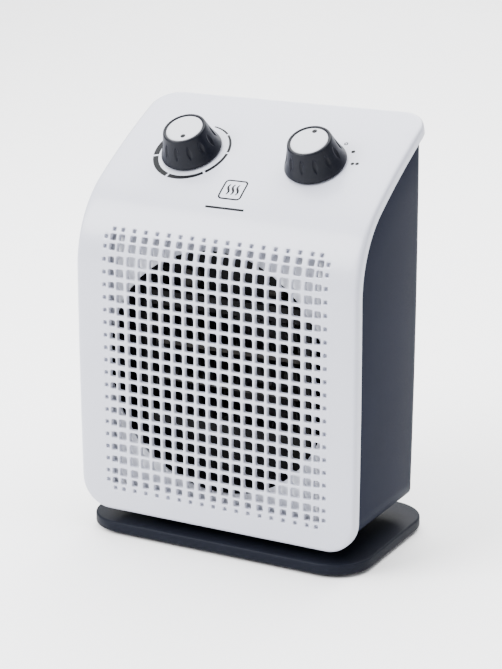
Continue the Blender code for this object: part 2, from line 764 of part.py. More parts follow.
def fin_row_mesh(half_length):
    """A folded strip that zigzags between two ceramic bars, as an open surface."""
    peak = FIN_ROW_HEIGHT / 2 - 0.9 * MM
    count = int(2 * half_length / (FIN_PITCH / 2))
    bm = bmesh.new()
    points = [(-half_length + i * FIN_PITCH / 2, peak * (-1) ** i) for i in range(count + 1)]
    front = [bm.verts.new((x, -38 * MM, z)) for x, z in points]
    back = [bm.verts.new((x, -27 * MM, z)) for x, z in points]
    for i in range(count):
        bm.faces.new((front[i], front[i + 1], back[i + 1], back[i]))
    return mesh_from(bm, "fin_row")


def make_heating_element():
    z = GRILLE_Z
    width, height = ELEMENT_HALF
    frame_block = box_mesh((-width, ELEMENT_FRONT, z - height), (width, ELEMENT_BACK, z + height))
    frame = new_part("element_frame", frame_block, BLACK)
    inner_x, inner_z = WINDOW_HALF
    window = box_mesh((-inner_x, -60 * MM, z - inner_z), (inner_x, 0, z + inner_z))
    slots = []
    bar_levels = [z + (i - 0.5) * (FIN_ROW_HEIGHT + BAR_HEIGHT) for i in range(BAR_COUNT)]
    for level in bar_levels:
        slot = box_mesh((inner_x - MM, -36.5 * MM, level - MM), (width + MM, -28.5 * MM, level + MM))
        slots.append((slot, Matrix()))
    combine(frame, helper("element_window", [(window, Matrix())]), "DIFFERENCE")
    combine(frame, helper("element_slots", slots), "DIFFERENCE")

    length = inner_x - 2 * MM
    bar = box_mesh((-length, -38 * MM, -BAR_HEIGHT / 2), (length, -27 * MM, BAR_HEIGHT / 2))
    repeat("ceramic_bar", bar, [Matrix.Translation((0, 0, level)) for level in bar_levels], CERAMIC)
    tab = box_mesh((length + GAP, -35.5 * MM, -0.4 * MM), (width + 7 * MM, -29.5 * MM, 0.4 * MM))
    repeat("element_terminal", tab, [Matrix.Translation((0, 0, level)) for level in bar_levels], BRASS)

    fins = fin_row_mesh(length)
    for row in range(BAR_COUNT + 1):
        level = z + (row - BAR_COUNT / 2) * (FIN_ROW_HEIGHT + BAR_HEIGHT)
        fin_row = new_part(f"aluminium_fins_{row + 1}", fins, ALUMINIUM, smooth=False)
        fin_row.location.z = level
        sheet = fin_row.modifiers.new("sheet", "SOLIDIFY")
        sheet.thickness = 0.6 * MM
        sheet.offset = 0

    baffle_start = (0, ELEMENT_BACK + GAP, z)
    baffle_end = (0, ELEMENT_BACK + GAP + 1.2 * MM, z)
    disc = rod_mesh(baffle_start, baffle_end, DUCT_RADIUS - 0.5 * MM, 48)
    baffle = new_part("element_baffle", disc, MICA)
    opening = box_mesh((-inner_x, -40 * MM, z - inner_z), (inner_x, 0, z + inner_z))
    combine(baffle, helper("baffle_opening", [(opening, Matrix())]), "DIFFERENCE")

    cutout = turned_mesh(
        [(0, 9 * MM), (5 * MM, 9 * MM), (5 * MM, 4 * MM), (7 * MM, 4 * MM), (7 * MM, 0), (0, 0)], 16
    )
    cutout_place = along((-30 * MM, ELEMENT_BACK, z + 53 * MM), (0, -1, 0))
    new_part("thermal_cutout", placed(cutout, cutout_place), STEEL)
    fuse = turned_mesh([(0, 12 * MM), (1.9 * MM, 11 * MM), (1.9 * MM, 1 * MM), (0, 0)], 10)
    new_part("thermal_fuse", placed(fuse, along((22 * MM, -29 * MM, z + 49 * MM), (1, 0, 0))), BRASS)


# --- Fan and motor ---

MOTOR_FRONT = 16.5 * MM
MOTOR_BACK = 31.5 * MM
SHAFT_RADIUS = 1.6 * MM
MOTOR_SCREW_X = 23 * MM


def motor_box(low, high):
    """A box given from the motor's axis."""
    return box_mesh((low[0], low[1], GRILLE_Z + low[2]), (high[0], high[1], GRILLE_Z + high[2]))


def make_motor_mount():
    front = DUCT_BACK_Y + GAP
    frame = along((0, front, GRILLE_Z), (0, 1, 0))
    rim = ring_mesh(70 * MM, DUCT_RADIUS + DUCT_WALL, 0, 2.5 * MM, 40)
    mount = new_part("motor_mount", placed(rim, frame), BLACK)
    hub = placed(rod_mesh((0, 0, 0), (0, 0, 2.5 * MM), 30 * MM, 24), frame)
    # The arms are a little thinner than the rim and the hub that they join.
    thin = 0.2 * MM
    arm = motor_box((-72 * MM, front + thin, -6 * MM), (72 * MM, MOUNT_BACK_Y - thin, 6 * MM))
    upright = motor_box((-6 * MM, front + 2 * thin, -72 * MM), (6 * MM, MOUNT_BACK_Y - 2 * thin, 72 * MM))
    for name, mesh in (("mount_hub", hub), ("mount_arm", arm), ("mount_upright", upright)):
        combine(mount, helper(name, [(mesh, Matrix())]), "UNION")
    cuts = [(rod_mesh((0, 0, GRILLE_Z), (0, 20 * MM, GRILLE_Z), 6 * MM, 16), Matrix())]
    for x in (-MOTOR_SCREW_X, MOTOR_SCREW_X):
        cuts.append((rod_mesh((x, 0, GRILLE_Z), (x, 20 * MM, GRILLE_Z), 1.9 * MM, 8), Matrix()))
    combine(mount, helper("mount_cuts", cuts), "DIFFERENCE")


def make_bearing_bridge(name, plate_y, core_y):
    """A strap across the motor with two legs that stand on the laminations."""
    thickness = 1.6 * MM
    plate = motor_box((-27 * MM, plate_y, -7 * MM), (27 * MM, plate_y + thickness, 7 * MM))
    bridge_part = new_part(name, plate, STEEL)
    low_y, high_y = sorted((plate_y + thickness / 2, core_y))
    for side in (-1, 1):
        x0, x1 = sorted((side * 19 * MM, side * 27 * MM))
        leg = motor_box((x0, low_y, -6.5 * MM), (x1, high_y, 6.5 * MM))
        combine(bridge_part, helper(f"{name}_leg_{side + 2}", [(leg, Matrix())]), "UNION")
    cuts = [(rod_mesh((0, 0, GRILLE_Z), (0, 50 * MM, GRILLE_Z), 4.3 * MM, 16), Matrix())]
    for x in (-MOTOR_SCREW_X, MOTOR_SCREW_X):
        cuts.append((rod_mesh((x, 0, GRILLE_Z), (x, 50 * MM, GRILLE_Z), 1.9 * MM, 8), Matrix()))
    combine(bridge_part, helper(f"{name}_cuts", cuts), "DIFFERENCE")


def make_motor():
    core = motor_box((-28 * MM, MOTOR_FRONT, -34 * MM), (28 * MM, MOTOR_BACK, 19 * MM))
    stator = new_part("motor_laminations", core, STEEL)
    cuts = [(rod_mesh((0, 0, GRILLE_Z), (0, 50 * MM, GRILLE_Z), 13 * MM, 24), Matrix())]
    for x in (-MOTOR_SCREW_X, MOTOR_SCREW_X):
        cuts.append((rod_mesh((x, 0, GRILLE_Z), (x, 50 * MM, GRILLE_Z), 1.9 * MM, 8), Matrix()))
    cuts.append((motor_box((-17 * MM, 0, -27 * MM), (17 * MM, 50 * MM, -16 * MM)), Matrix()))
    combine(stator, helper("laminations_cuts", cuts), "DIFFERENCE")

    winding = motor_box((-16 * MM, 13.5 * MM, -44 * MM), (16 * MM, 34.5 * MM, -16.6 * MM))
    coil = new_part("motor_coil", winding, COPPER)
    low = (-20 * MM, MOTOR_FRONT - GAP, -34.4 * MM)
    high = (20 * MM, MOTOR_BACK + GAP, -26.6 * MM)
    combine(coil, helper("coil_core", [(motor_box(low, high), Matrix())]), "DIFFERENCE")

    front_plate = MOUNT_BACK_Y + GAP
    make_bearing_bridge("front_bearing_bridge", front_plate, MOTOR_FRONT - GAP)
    make_bearing_bridge("rear_bearing_bridge", 35 * MM, MOTOR_BACK + GAP)
    bush = ring_mesh(SHAFT_RADIUS + GAP, 4.0 * MM, 0, 4 * MM, 16)
    bush_places = [along((0, y, GRILLE_Z), (0, 1, 0)) for y in (front_plate - MM, 33.5 * MM)]
    repeat("motor_bush", bush, bush_places, BRONZE)
    screw = screw_mesh(2.9 * MM, 1.8 * MM, 1.5 * MM, 29 * MM, 8)
    seats = [
        along((x, 35 * MM + 1.6 * MM + GAP, GRILLE_Z), (0, 1, 0)) for x in (-MOTOR_SCREW_X, MOTOR_SCREW_X)
    ]
    repeat("motor_screw", screw, seats, STEEL)


FAN_HUB_RADIUS = 15 * MM
FAN_RADIUS = 70 * MM
BLADE_COUNT = 5


def blade_mesh():
    """One blade, pitched more at the root than at the tip."""
    bm = bmesh.new()
    bmesh.ops.create_grid(bm, x_segments=4, y_segments=2, size=0.5)
    for vert in bm.verts:
        share = vert.co.x + 0.5
        radius = FAN_HUB_RADIUS - 2 * MM + (FAN_RADIUS - FAN_HUB_RADIUS + 2 * MM) * share
        chord = (15 + 27 * share) * MM
        pitch = math.radians(48 - 24 * share)
        offset = vert.co.y * chord
        camber = (0.25 - vert.co.y**2) * chord * 0.3
        across = offset * math.cos(pitch) - camber * math.sin(pitch)
        height = offset * math.sin(pitch) + camber * math.cos(pitch)
        angle = across / radius
        vert.co = (radius * math.cos(angle), radius * math.sin(angle), height)
    bmesh.ops.solidify(bm, geom=bm.faces[:], thickness=1.6 * MM)
    return mesh_from(bm, "blade")


def make_fan():
    """Impeller, shaft, rotor and clip, parented to an empty on the motor's axis, its Z to the front."""
    axis = bpy.data.objects.new("fan_axis", None)
    PARTS.objects.link(axis)
    axis.matrix_world = along((0, 0, GRILLE_Z), (0, -1, 0))
    hub = turned_mesh(
        [
            (SHAFT_RADIUS + GAP, 13 * MM),
            (11 * MM, 13 * MM),
            (FAN_HUB_RADIUS, 9 * MM),
            (FAN_HUB_RADIUS, -5 * MM),
            (SHAFT_RADIUS + GAP, -5 * MM),
        ],
        30,
        True,
    )
    impeller = new_part("fan_impeller", hub, BLACK)
    blade = blade_mesh()
    turns = [Matrix.Rotation(math.tau * i / BLADE_COUNT, 4, "Z") for i in range(BLADE_COUNT)]
    blades = helper("fan_blades", [(blade, turn @ Matrix.Translation((0, 0, 3 * MM))) for turn in turns])
    combine(impeller, blades, "UNION")
    shaft = new_part("motor_shaft", rod_mesh((0, 0, -38 * MM), (0, 0, 17 * MM), SHAFT_RADIUS, 12), STEEL)
    rotor_low = -MOTOR_BACK - 0.5 * MM
    rotor_high = -MOTOR_FRONT + 0.5 * MM
    rotor_mesh = ring_mesh(SHAFT_RADIUS + GAP, 12.4 * MM, rotor_low, rotor_high, 20)
    rotor = new_part("motor_rotor", rotor_mesh, STEEL)
    clip_mesh = ring_mesh(SHAFT_RADIUS + GAP, 4.2 * MM, 13 * MM + GAP, 15.5 * MM, 12)
    clip = new_part("fan_clip", clip_mesh, STEEL)
    for piece in (impeller, blades, shaft, rotor, clip):
        piece.parent = axis


# --- Controls ---


def block_in(frame, low, high):
    return placed(box_mesh(low, high), frame)


def make_control_bracket():
    """A sheet below the sloping top that holds the thermostat and the switch."""
    frame = knob_frame(0)
    top = -BRACKET_DEPTH
    low = (-70 * MM, -16 * MM, top - BRACKET_SHEET)
    bracket = new_part("control_bracket", block_in(frame, low, (70 * MM, 16 * MM, top)), STEEL)
    cuts = []
    seats = []
    for x in (-KNOB_X, KNOB_X):
        knob = knob_frame(x)
        cuts.append((rod_mesh(knob @ Vector((0, 0, -20 * MM)), knob @ Vector((0, 0, -8 * MM)), 4.9 * MM, 16), Matrix()))
        for side in (-1, 1):
            across = side * 22 * MM
            start = knob @ Vector((across, 0, -20 * MM))
            cuts.append((rod_mesh(start, knob @ Vector((across, 0, -8 * MM)), 1.6 * MM, 8), Matrix()))
            if x * side > 0:
                seat = knob @ Matrix.Translation((across, 0, top - BRACKET_SHEET - GAP))
                seats.append(seat @ Matrix.Rotation(math.pi, 4, "X"))
    combine(bracket, helper("bracket_cuts", cuts), "DIFFERENCE")
    repeat("bracket_screw", SHORT_SCREW, seats, STEEL)


def bushing_profile(body_low):
    """A threaded bushing that stands on a body, its bore wide enough for the spindle."""
    bore = SPINDLE_RADIUS + GAP
    flange = -BRACKET_DEPTH - BRACKET_SHEET - GAP
    return [
        (4.5 * MM, -7 * MM),
        (4.5 * MM, flange),
        (8.0 * MM, flange),
        (8.0 * MM, body_low),
        (bore, body_low),
        (bore, -7 * MM),
    ]


def make_nut(name, knob):
    inner = (4.5 * MM + GAP) / math.cos(math.pi / 6)  # across the corners of its six-sided opening
    nut = ring_mesh(inner, 8.4 * MM, -BRACKET_DEPTH + GAP, -BRACKET_DEPTH + 3.3 * MM, 6)
    new_part(name, placed(nut, knob), STEEL, smooth=False)


def make_thermostat():
    knob = knob_frame(-KNOB_X)
    body_top = -BRACKET_DEPTH - BRACKET_SHEET - 4.0 * MM
    bushing = placed(turned_mesh(bushing_profile(body_top - MM), 16, True), knob)
    body = new_part("thermostat_body", bushing, STEEL)
    block = block_in(knob, (-13 * MM, -9 * MM, body_top - 9 * MM), (13 * MM, 9 * MM, body_top))
    combine(body, helper("thermostat_block", [(block, Matrix())]), "UNION")
    bore_end = knob @ Vector((0, 0, -7.5 * MM))
    bore = rod_mesh(knob @ Vector((0, 0, body_top - 6 * MM)), bore_end, SPINDLE_RADIUS + GAP, 16)
    combine(body, helper("thermostat_bore", [(bore, Matrix())]), "DIFFERENCE")
    low = body_top - 9 * MM - GAP
    strip = block_in(knob, (-15 * MM, -4 * MM, low - 0.8 * MM), (17 * MM, 4 * MM, low))
    new_part("thermostat_bimetal", strip, BRASS)
    make_nut("thermostat_nut", knob)


def make_selector():
    knob = knob_frame(KNOB_X)
    body_top = -BRACKET_DEPTH - BRACKET_SHEET - 4.0 * MM
    bushing = placed(turned_mesh(bushing_profile(body_top - MM), 16, True), knob)
    body = new_part("selector_switch_body", bushing, GREY)
    block = block_in(knob, (-12 * MM, -12 * MM, body_top - 12 * MM), (12 * MM, 12 * MM, body_top))
    combine(body, helper("selector_block", [(block, Matrix())]), "UNION")
    bore_end = knob @ Vector((0, 0, -7.5 * MM))
    bore = rod_mesh(knob @ Vector((0, 0, body_top - 6 * MM)), bore_end, SPINDLE_RADIUS + GAP, 16)
    combine(body, helper("selector_bore", [(bore, Matrix())]), "DIFFERENCE")
    low = body_top - 12 * MM - GAP
    plate = block_in(knob, (-10 * MM, -8 * MM, low - MM), (10 * MM, 8 * MM, low))
    terminals = new_part("selector_terminals", plate, BRASS)
    tabs = []
    for x in (-6 * MM, 6 * MM):
        for y in (-5 * MM, 5 * MM):
            tab = box_mesh((x - 3.1 * MM, y - 0.4 * MM, low - 7 * MM), (x + 3.1 * MM, y + 0.4 * MM, low - 0.5 * MM))
            tabs.append((tab, knob))
    combine(terminals, helper("selector_tabs", tabs), "UNION")
    make_nut("selector_nut", knob)


def knob_mesh():
    bore = SPINDLE_RADIUS + GAP
    recess = KNOB_TOP_RADIUS - MM
    low, high = KNOB_LIFT, KNOB_LIFT + KNOB_HEIGHT
    floor = high - 1.4 * MM
    return turned_mesh(
        [
            (0, floor),
            (recess, floor),
            (recess, high),
            (KNOB_TOP_RADIUS, high),
            (KNOB_TOP_RADIUS + 0.5 * MM, high - 0.7 * MM),
            (KNOB_TOP_RADIUS + 1.7 * MM, high - 5 * MM),
            (KNOB_TOP_RADIUS + 3.4 * MM, high - 10.5 * MM),
            (KNOB_BASE_RADIUS - 0.6 * MM, low + 2.2 * MM),
            (KNOB_BASE_RADIUS, low + 0.8 * MM),
            (KNOB_BASE_RADIUS - 0.3 * MM, low),
            (bore, low),
            (bore, low + 10 * MM),
            (0, low + 10 * MM),
        ],
        28,
    )


def make_knob(name, x):
    """Knob, cap and spindle, parented to an empty on the knob's axis."""
    axis = bpy.data.objects.new(f"{name}_axis", None)
    PARTS.objects.link(axis)
    axis.matrix_world = knob_frame(x)
    knob = new_part(f"{name}_knob", knob_mesh(), DARK)
    top = KNOB_LIFT + KNOB_HEIGHT
    radius = KNOB_TOP_RADIUS - MM - GAP
    cap_mesh = turned_mesh(
        [(0, top - 0.1 * MM), (radius - 0.6 * MM, top - 0.2 * MM), (radius, top - 0.5 * MM)]
        + [(radius, top - 1.1 * MM), (0, top - 1.1 * MM)],
        28,
    )
    cap = new_part(f"{name}_knob_cap", cap_mesh, WHITE)
    spindle_mesh = rod_mesh((0, 0, -21 * MM), (0, 0, KNOB_LIFT + 9.5 * MM), SPINDLE_RADIUS, 12)
    spindle = new_part(f"{name}_spindle", spindle_mesh, STEEL)
    for piece in (knob, cap, spindle):
        piece.parent = axis


# --- Supply inlet and wiring ---


def make_inlet():
    wall = back_y(GLAND_Z)
    outside = wall + GAP + 0.3 * MM
    inside = wall - HOUSING_WALL - GAP - 0.3 * MM
    profile = [
        (8.0 * MM, outside + 2.5 * MM),
        (9.5 * MM, outside + 1.2 * MM),
        (9.5 * MM, outside),
        (6.6 * MM, outside),
        (6.6 * MM, inside),
        (8.6 * MM, inside),
        (8.6 * MM, inside - 3 * MM),
        (3.6 * MM, inside - 3 * MM),
        (3.6 * MM, outside + 2.5 * MM),
    ]
    gland = placed(turned_mesh(profile, 20, True), along((GLAND_X, 0, GLAND_Z), (0, 1, 0)))
    new_part("cord_gland", gland, RUBBER)
    floor = HOUSING_BOTTOM + HOUSING_WALL + GAP
    block = box_mesh((12 * MM, 2 * MM, floor), (38 * MM, 14 * MM, floor + 12 * MM))
    new_part("terminal_block", block, WHITE)


def make_wiring():
    radius = 1.2 * MM
    block_top = HOUSING_BOTTOM + HOUSING_WALL + GAP + 12 * MM
    lead(
        "supply_lead",
        [(0.018, 0.008, block_top + 0.0017), (0.024, 0.020, 0.045), (0.060, 0.030, 0.060)]
        + [(0.078, 0.026, 0.110), (0.070, 0.022, 0.170), (0.052, 0.016, 0.196), (0.0454, 0.0170, 0.2015)],
        radius,
        BLACK,
    )
    lead(
        "motor_lead",
        [(-0.0345, 0.016, 0.208), (-0.042, 0.024, 0.190), (-0.048, 0.032, 0.150), (-0.043, 0.035, 0.110)]
        + [(-0.034, 0.036, 0.088), (-0.0240, 0.034, 0.076), (-0.0176, 0.029, 0.0745)],
        radius,
        WHITE,
    )
    z, y = WIRE_HOLE
    lead(
        "element_lead",
        [(0.0657, y, z), (0.0760, y, z), (0.0835, y + 0.002, z + 0.012), (0.0800, -0.024, 0.160)]
        + [(0.070, -0.012, 0.186), (0.060, 0.002, 0.200), (0.0530, 0.0115, 0.2068)],
        radius,
        BLACK,
    )


make_front_panel()
make_rear_housing()
make_housing_screws()
make_base()
make_air_shroud()
make_duct()
make_heating_element()
make_motor_mount()
make_motor()
make_fan()
make_control_bracket()
make_thermostat()
make_selector()
make_knob("thermostat", -KNOB_X)
make_knob("selector", KNOB_X)
make_inlet()
make_wiring()
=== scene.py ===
"""Looks of the ceramic fan heater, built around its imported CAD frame. Metres, +Z up, front towards -Y."""

import math

import bmesh
import bpy
from mathutils import Matrix, Vector


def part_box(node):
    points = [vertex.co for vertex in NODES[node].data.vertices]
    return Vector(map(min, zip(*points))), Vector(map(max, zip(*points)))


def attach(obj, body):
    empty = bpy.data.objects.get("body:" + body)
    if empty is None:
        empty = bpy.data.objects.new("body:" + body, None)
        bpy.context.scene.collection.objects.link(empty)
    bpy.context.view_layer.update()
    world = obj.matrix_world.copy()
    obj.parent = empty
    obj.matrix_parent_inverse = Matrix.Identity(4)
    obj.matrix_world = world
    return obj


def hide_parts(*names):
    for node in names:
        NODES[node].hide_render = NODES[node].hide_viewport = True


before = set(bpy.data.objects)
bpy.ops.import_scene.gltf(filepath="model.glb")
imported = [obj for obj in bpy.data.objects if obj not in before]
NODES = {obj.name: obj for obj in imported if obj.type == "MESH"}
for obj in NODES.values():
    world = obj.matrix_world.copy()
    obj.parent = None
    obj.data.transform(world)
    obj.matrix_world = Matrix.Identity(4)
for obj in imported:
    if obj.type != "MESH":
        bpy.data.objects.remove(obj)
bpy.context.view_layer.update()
MM = 0.001

# --- The front face's shape, as in the CAD model ---

FRONT_Y = -57.0 * MM
PANEL_BOTTOM = 15.9 * MM
STRAIGHT = 154.2 * MM
BEND_RADIUS = 64.0 * MM
BEND_TURN = math.radians(55.7)
BEND_LENGTH = BEND_RADIUS * BEND_TURN
CROWN_RADIUS = 476.0 * MM
PANEL_LENGTH = STRAIGHT + BEND_LENGTH + CROWN_RADIUS * math.radians(10.5)
HALF_WIDTH = 95.55 * MM
BOW = 0.785
BOTTOM_CORNER = 19.3 * MM
TOP_CORNER = 17.4 * MM
PANEL_SKIN = 2.8 * MM
PANEL_WALL = 2.4 * MM
PANEL_WRAP = 7.0 * MM
EDGE_RADIUS = 2.6 * MM
PITCH = 8.0 * MM
GRILLE_Z = 114.0 * MM
GRILLE_S = GRILLE_Z - PANEL_BOTTOM
KNOB_X = 42.4 * MM
KNOB_S = 245.2 * MM
KNOB_LIFT = 0.6 * MM
KNOB_HEIGHT = 17.8 * MM
KNOB_TOP = 13.1 * MM


def face_line(s, depth=0.0):
    """Side view of the front face at arc length s from its bottom edge: y, z and slope."""
    if s <= STRAIGHT:
        y, z, slope = FRONT_Y, PANEL_BOTTOM + s, math.pi / 2
    elif s <= STRAIGHT + BEND_LENGTH:
        turn = (s - STRAIGHT) / BEND_RADIUS
        y = FRONT_Y + BEND_RADIUS * (1 - math.cos(turn))
        z = PANEL_BOTTOM + STRAIGHT + BEND_RADIUS * math.sin(turn)
        slope = math.pi / 2 - turn
    else:
        start = math.pi / 2 - BEND_TURN
        slope = start - (s - STRAIGHT - BEND_LENGTH) / CROWN_RADIUS
        bend_y, bend_z, _ = face_line(STRAIGHT + BEND_LENGTH)
        y = bend_y + CROWN_RADIUS * (math.sin(start) - math.sin(slope))
        z = bend_z + CROWN_RADIUS * (math.cos(slope) - math.cos(start))
    return y + depth * math.sin(slope), z - depth * math.cos(slope), slope


def on_face(x, s, depth=0.0):
    y, z, _ = face_line(s, depth)
    return Vector((x, y, z))


def bow(s):
    return 1 - BOW * (face_line(s)[1] - GRILLE_Z) ** 2


def knob_frame(x):
    """A frame on the face with Z along a knob's axis and Y up the slope."""
    y, z, slope = face_line(KNOB_S)
    out = Vector((0, -math.sin(slope), math.cos(slope)))
    up = Vector((0, math.cos(slope), math.sin(slope)))
    return Matrix.Translation((x, y, z)) @ Matrix((Vector((1, 0, 0)), up, out)).transposed().to_4x4()


# --- Materials ---


def moulded(
    name, colour, roughness, grain=1500, bump=0.10, spread=0.05, coat=0.0, metallic=0.0, specular=0.5
):
    """Moulded plastic, rubber or cast metal: slow colour drift, fine grain and uneven gloss."""
    made = bpy.data.materials.new(name)
    made.use_nodes = True
    tree = made.node_tree
    shader = tree.nodes["Principled BSDF"]
    place = tree.nodes.new("ShaderNodeTexCoord")
    drift = tree.nodes.new("ShaderNodeTexNoise")
    drift.inputs["Scale"].default_value = 18
    drift.inputs["Detail"].default_value = 3
    tree.links.new(place.outputs["Object"], drift.inputs["Vector"])
    ramp = tree.nodes.new("ShaderNodeValToRGB")
    ramp.color_ramp.elements[0].position = 0.3
    ramp.color_ramp.elements[1].position = 0.7
    ramp.color_ramp.elements[0].color = (*[c * (1 - spread) for c in colour], 1)
    ramp.color_ramp.elements[1].color = (*[min(1, c * (1 + spread)) for c in colour], 1)
    tree.links.new(drift.outputs["Fac"], ramp.inputs["Fac"])
    tree.links.new(ramp.outputs["Color"], shader.inputs["Base Color"])
    fine = tree.nodes.new("ShaderNodeTexNoise")
    fine.inputs["Scale"].default_value = grain
    fine.inputs["Detail"].default_value = 2
    tree.links.new(place.outputs["Object"], fine.inputs["Vector"])
    relief = tree.nodes.new("ShaderNodeBump")
    relief.inputs["Strength"].default_value = bump
    relief.inputs["Distance"].default_value = 0.0002
    tree.links.new(fine.outputs["Fac"], relief.inputs["Height"])
    tree.links.new(relief.outputs["Normal"], shader.inputs["Normal"])
    gloss = tree.nodes.new("ShaderNodeMapRange")
    gloss.inputs["To Min"].default_value = roughness * 0.85
    gloss.inputs["To Max"].default_value = min(1, roughness * 1.15)
    tree.links.new(fine.outputs["Fac"], gloss.inputs["Value"])
    tree.links.new(gloss.outputs["Result"], shader.inputs["Roughness"])
    shader.inputs["Metallic"].default_value = metallic
    shader.inputs["Coat Weight"].default_value = coat
    shader.inputs["Coat Roughness"].default_value = 0.12
    shader.inputs["Specular IOR Level"].default_value = specular
    return made


def brushed(name, colour, roughness, along=(1, 1, 12)):
    """Drawn or rolled metal: fine lines in the gloss and a slight relief."""
    made = moulded(name, colour, roughness, grain=400, bump=0.06, spread=0.04, metallic=1.0)
    tree = made.node_tree
    place = next(n for n in tree.nodes if n.type == "TEX_COORD")
    fine = next(n for n in tree.nodes if n.type == "TEX_NOISE" and n.inputs["Scale"].default_value > 100)
    stretch = tree.nodes.new("ShaderNodeMapping")
    stretch.inputs["Scale"].default_value = along
    tree.links.new(place.outputs["Object"], stretch.inputs["Vector"])
    tree.links.new(stretch.outputs["Vector"], fine.inputs["Vector"])
    return made


WHITE = moulded(
    "white_plastic", (0.460, 0.473, 0.545), 0.34, grain=2200, bump=0.035, spread=0.012, coat=0.15
)
DARK = moulded(
    "dark_plastic", (0.0077, 0.0098, 0.0192), 0.55, grain=1700, bump=0.14, spread=0.06, specular=0.04
)
BASE = moulded(
    "base_plastic", (0.0070, 0.0082, 0.0130), 0.50, grain=1700, bump=0.03, spread=0.06, specular=0.05
)
KNOB = moulded(
    "knob_plastic", (0.0034, 0.0042, 0.0078), 0.30, grain=2400, bump=0.03, spread=0.05, specular=0.12
)
CAP = moulded("cap_plastic", (0.44, 0.45, 0.49), 0.36, grain=2000, bump=0.04, spread=0.015)
PRINT = moulded(
    "printed_ink", (0.0030, 0.0035, 0.0050), 0.45, grain=2600, bump=0.03, spread=0.08, specular=0.1
)
BLACK = moulded(
    "black_plastic", (0.0040, 0.0042, 0.0050), 0.55, grain=1400, bump=0.12, spread=0.10, specular=0.15
)
# The shroud's own light plastic, made brighter than the panel's white: painted light that makes up for the
# shade on the recessed plate behind the grille.
SHROUD_PAINTED_LIGHT = moulded("frame_plastic", (0.74, 0.75, 0.80), 0.50, grain=1400, bump=0.10, spread=0.03)
GREY = moulded("grey_plastic", (0.20, 0.20, 0.22), 0.55, grain=1400, bump=0.12, spread=0.06)
# The mica frame is coloured near black: painted shade of the dark inside of the duct, not mica's own colour.
MICA_PAINTED_SHADE = moulded(
    "mica_sheet_painted_shade", (0.0035, 0.0033, 0.0036), 0.55, grain=260, bump=0.20, spread=0.25, specular=0.15
)
CERAMIC = moulded("ceramic", (0.030, 0.028, 0.025), 0.75, grain=900, bump=0.25, spread=0.10, specular=0.15)
RUBBER = moulded("rubber", (0.020, 0.020, 0.022), 0.80, grain=900, bump=0.22, spread=0.15, specular=0.3)
WIRE = moulded("wire_sleeve", (0.030, 0.030, 0.034), 0.60, grain=1200, bump=0.12, spread=0.12)
LABEL = moulded("label_film", (0.46, 0.47, 0.49), 0.40, grain=2600, bump=0.03, spread=0.03)
STEEL = brushed("steel", (0.50, 0.50, 0.51), 0.36)
DARK_STEEL = brushed("dark_steel", (0.03, 0.03, 0.033), 0.45)
# The heater fins' aluminium is coloured near black: painted shade of the duct they sit in, not the metal's
# own colour.
ALUMINIUM_PAINTED_SHADE = brushed("aluminium", (0.035, 0.035, 0.037), 0.48, (12, 1, 1))
BRASS = brushed("brass", (0.62, 0.47, 0.20), 0.36)
COPPER = brushed("copper_winding", (0.42, 0.18, 0.08), 0.42, (1, 30, 30))

FINISHES = [
    (WHITE, ["front_panel"]),
    (DARK, ["rear_housing", "base_plate", "base_pedestal"]),
    (BLACK, ["fan_impeller", "air_duct", "motor_mount", "element_baffle"]),
    (KNOB, ["thermostat_knob", "selector_knob"]),
    (CAP, ["thermostat_knob_cap", "selector_knob_cap"]),
    (SHROUD_PAINTED_LIGHT, ["air_shroud"]),
    (MICA_PAINTED_SHADE, ["element_frame"]),
    (GREY, ["thermostat_body", "selector_switch_body", "terminal_block"]),
    (RUBBER, ["rubber_foot_1", "rubber_foot_2", "rubber_foot_3", "rubber_foot_4", "cord_gland"]),
    (WIRE, ["supply_lead", "motor_lead", "element_lead"]),
    (ALUMINIUM_PAINTED_SHADE, ["aluminium_fins_1", "aluminium_fins_2", "aluminium_fins_3"]),
    (CERAMIC, ["ceramic_bar_1", "ceramic_bar_2", "thermal_cutout", "thermal_fuse"]),
    (BRASS, ["element_terminal_1", "element_terminal_2", "selector_terminals", "thermostat_bimetal"]),
    (BRASS, ["motor_bush_1", "motor_bush_2"]),
    (COPPER, ["motor_coil"]),
    (DARK_STEEL, ["motor_laminations", "motor_rotor", "control_bracket"]),
    (DARK_STEEL, ["front_bearing_bridge", "rear_bearing_bridge"]),
]
for finish, names in FINISHES:
    for name in names:
        NODES[name].data.materials.clear()
        NODES[name].data.materials.append(finish)
known = {name for _, names in FINISHES for name in names}
for name in sorted(set(NODES) - known):
    NODES[name].data.materials.clear()
    NODES[name].data.materials.append(STEEL)


# --- Making pieces ---


def add_piece(name, mesh, finish, body, replaced=(), smooth_angle=32):
    obj = bpy.data.objects.new(name, mesh)
    bpy.context.scene.collection.objects.link(obj)
    mesh.materials.clear()
    mesh.materials.append(finish)
    mesh.shade_smooth()
    mesh.set_sharp_from_angle(angle=math.radians(smooth_angle))
    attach(obj, body)
    if replaced:
        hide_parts(*replaced)
    return obj


def mesh_from(bm, name):
    bmesh.ops.recalc_face_normals(bm, faces=bm.faces)
    mesh = bpy.data.meshes.new(name)
    bm.to_mesh(mesh)
    bm.free()
    return mesh


def lathe(profile, steps):
    """A closed mesh of a (radius, height) profile turned round Z. Ends on the axis share one point."""
    bm = bmesh.new()
    rings = []
    for radius, height in profile:
        if radius < 1e-7:
            rings.append([bm.verts.new((0, 0, height))] * steps)
            continue
        turns = [2 * math.pi * i / steps for i in range(steps)]
        rings.append([bm.verts.new((radius * math.cos(t), radius * math.sin(t), height)) for t in turns])
    for a, b in zip(rings, rings[1:]):
        for i in range(steps):
            j = (i + 1) % steps
            corners = [a[i], a[j], b[j], b[i]]
            bm.faces.new(list(dict.fromkeys(corners)))
    return bm


# --- Front panel ---


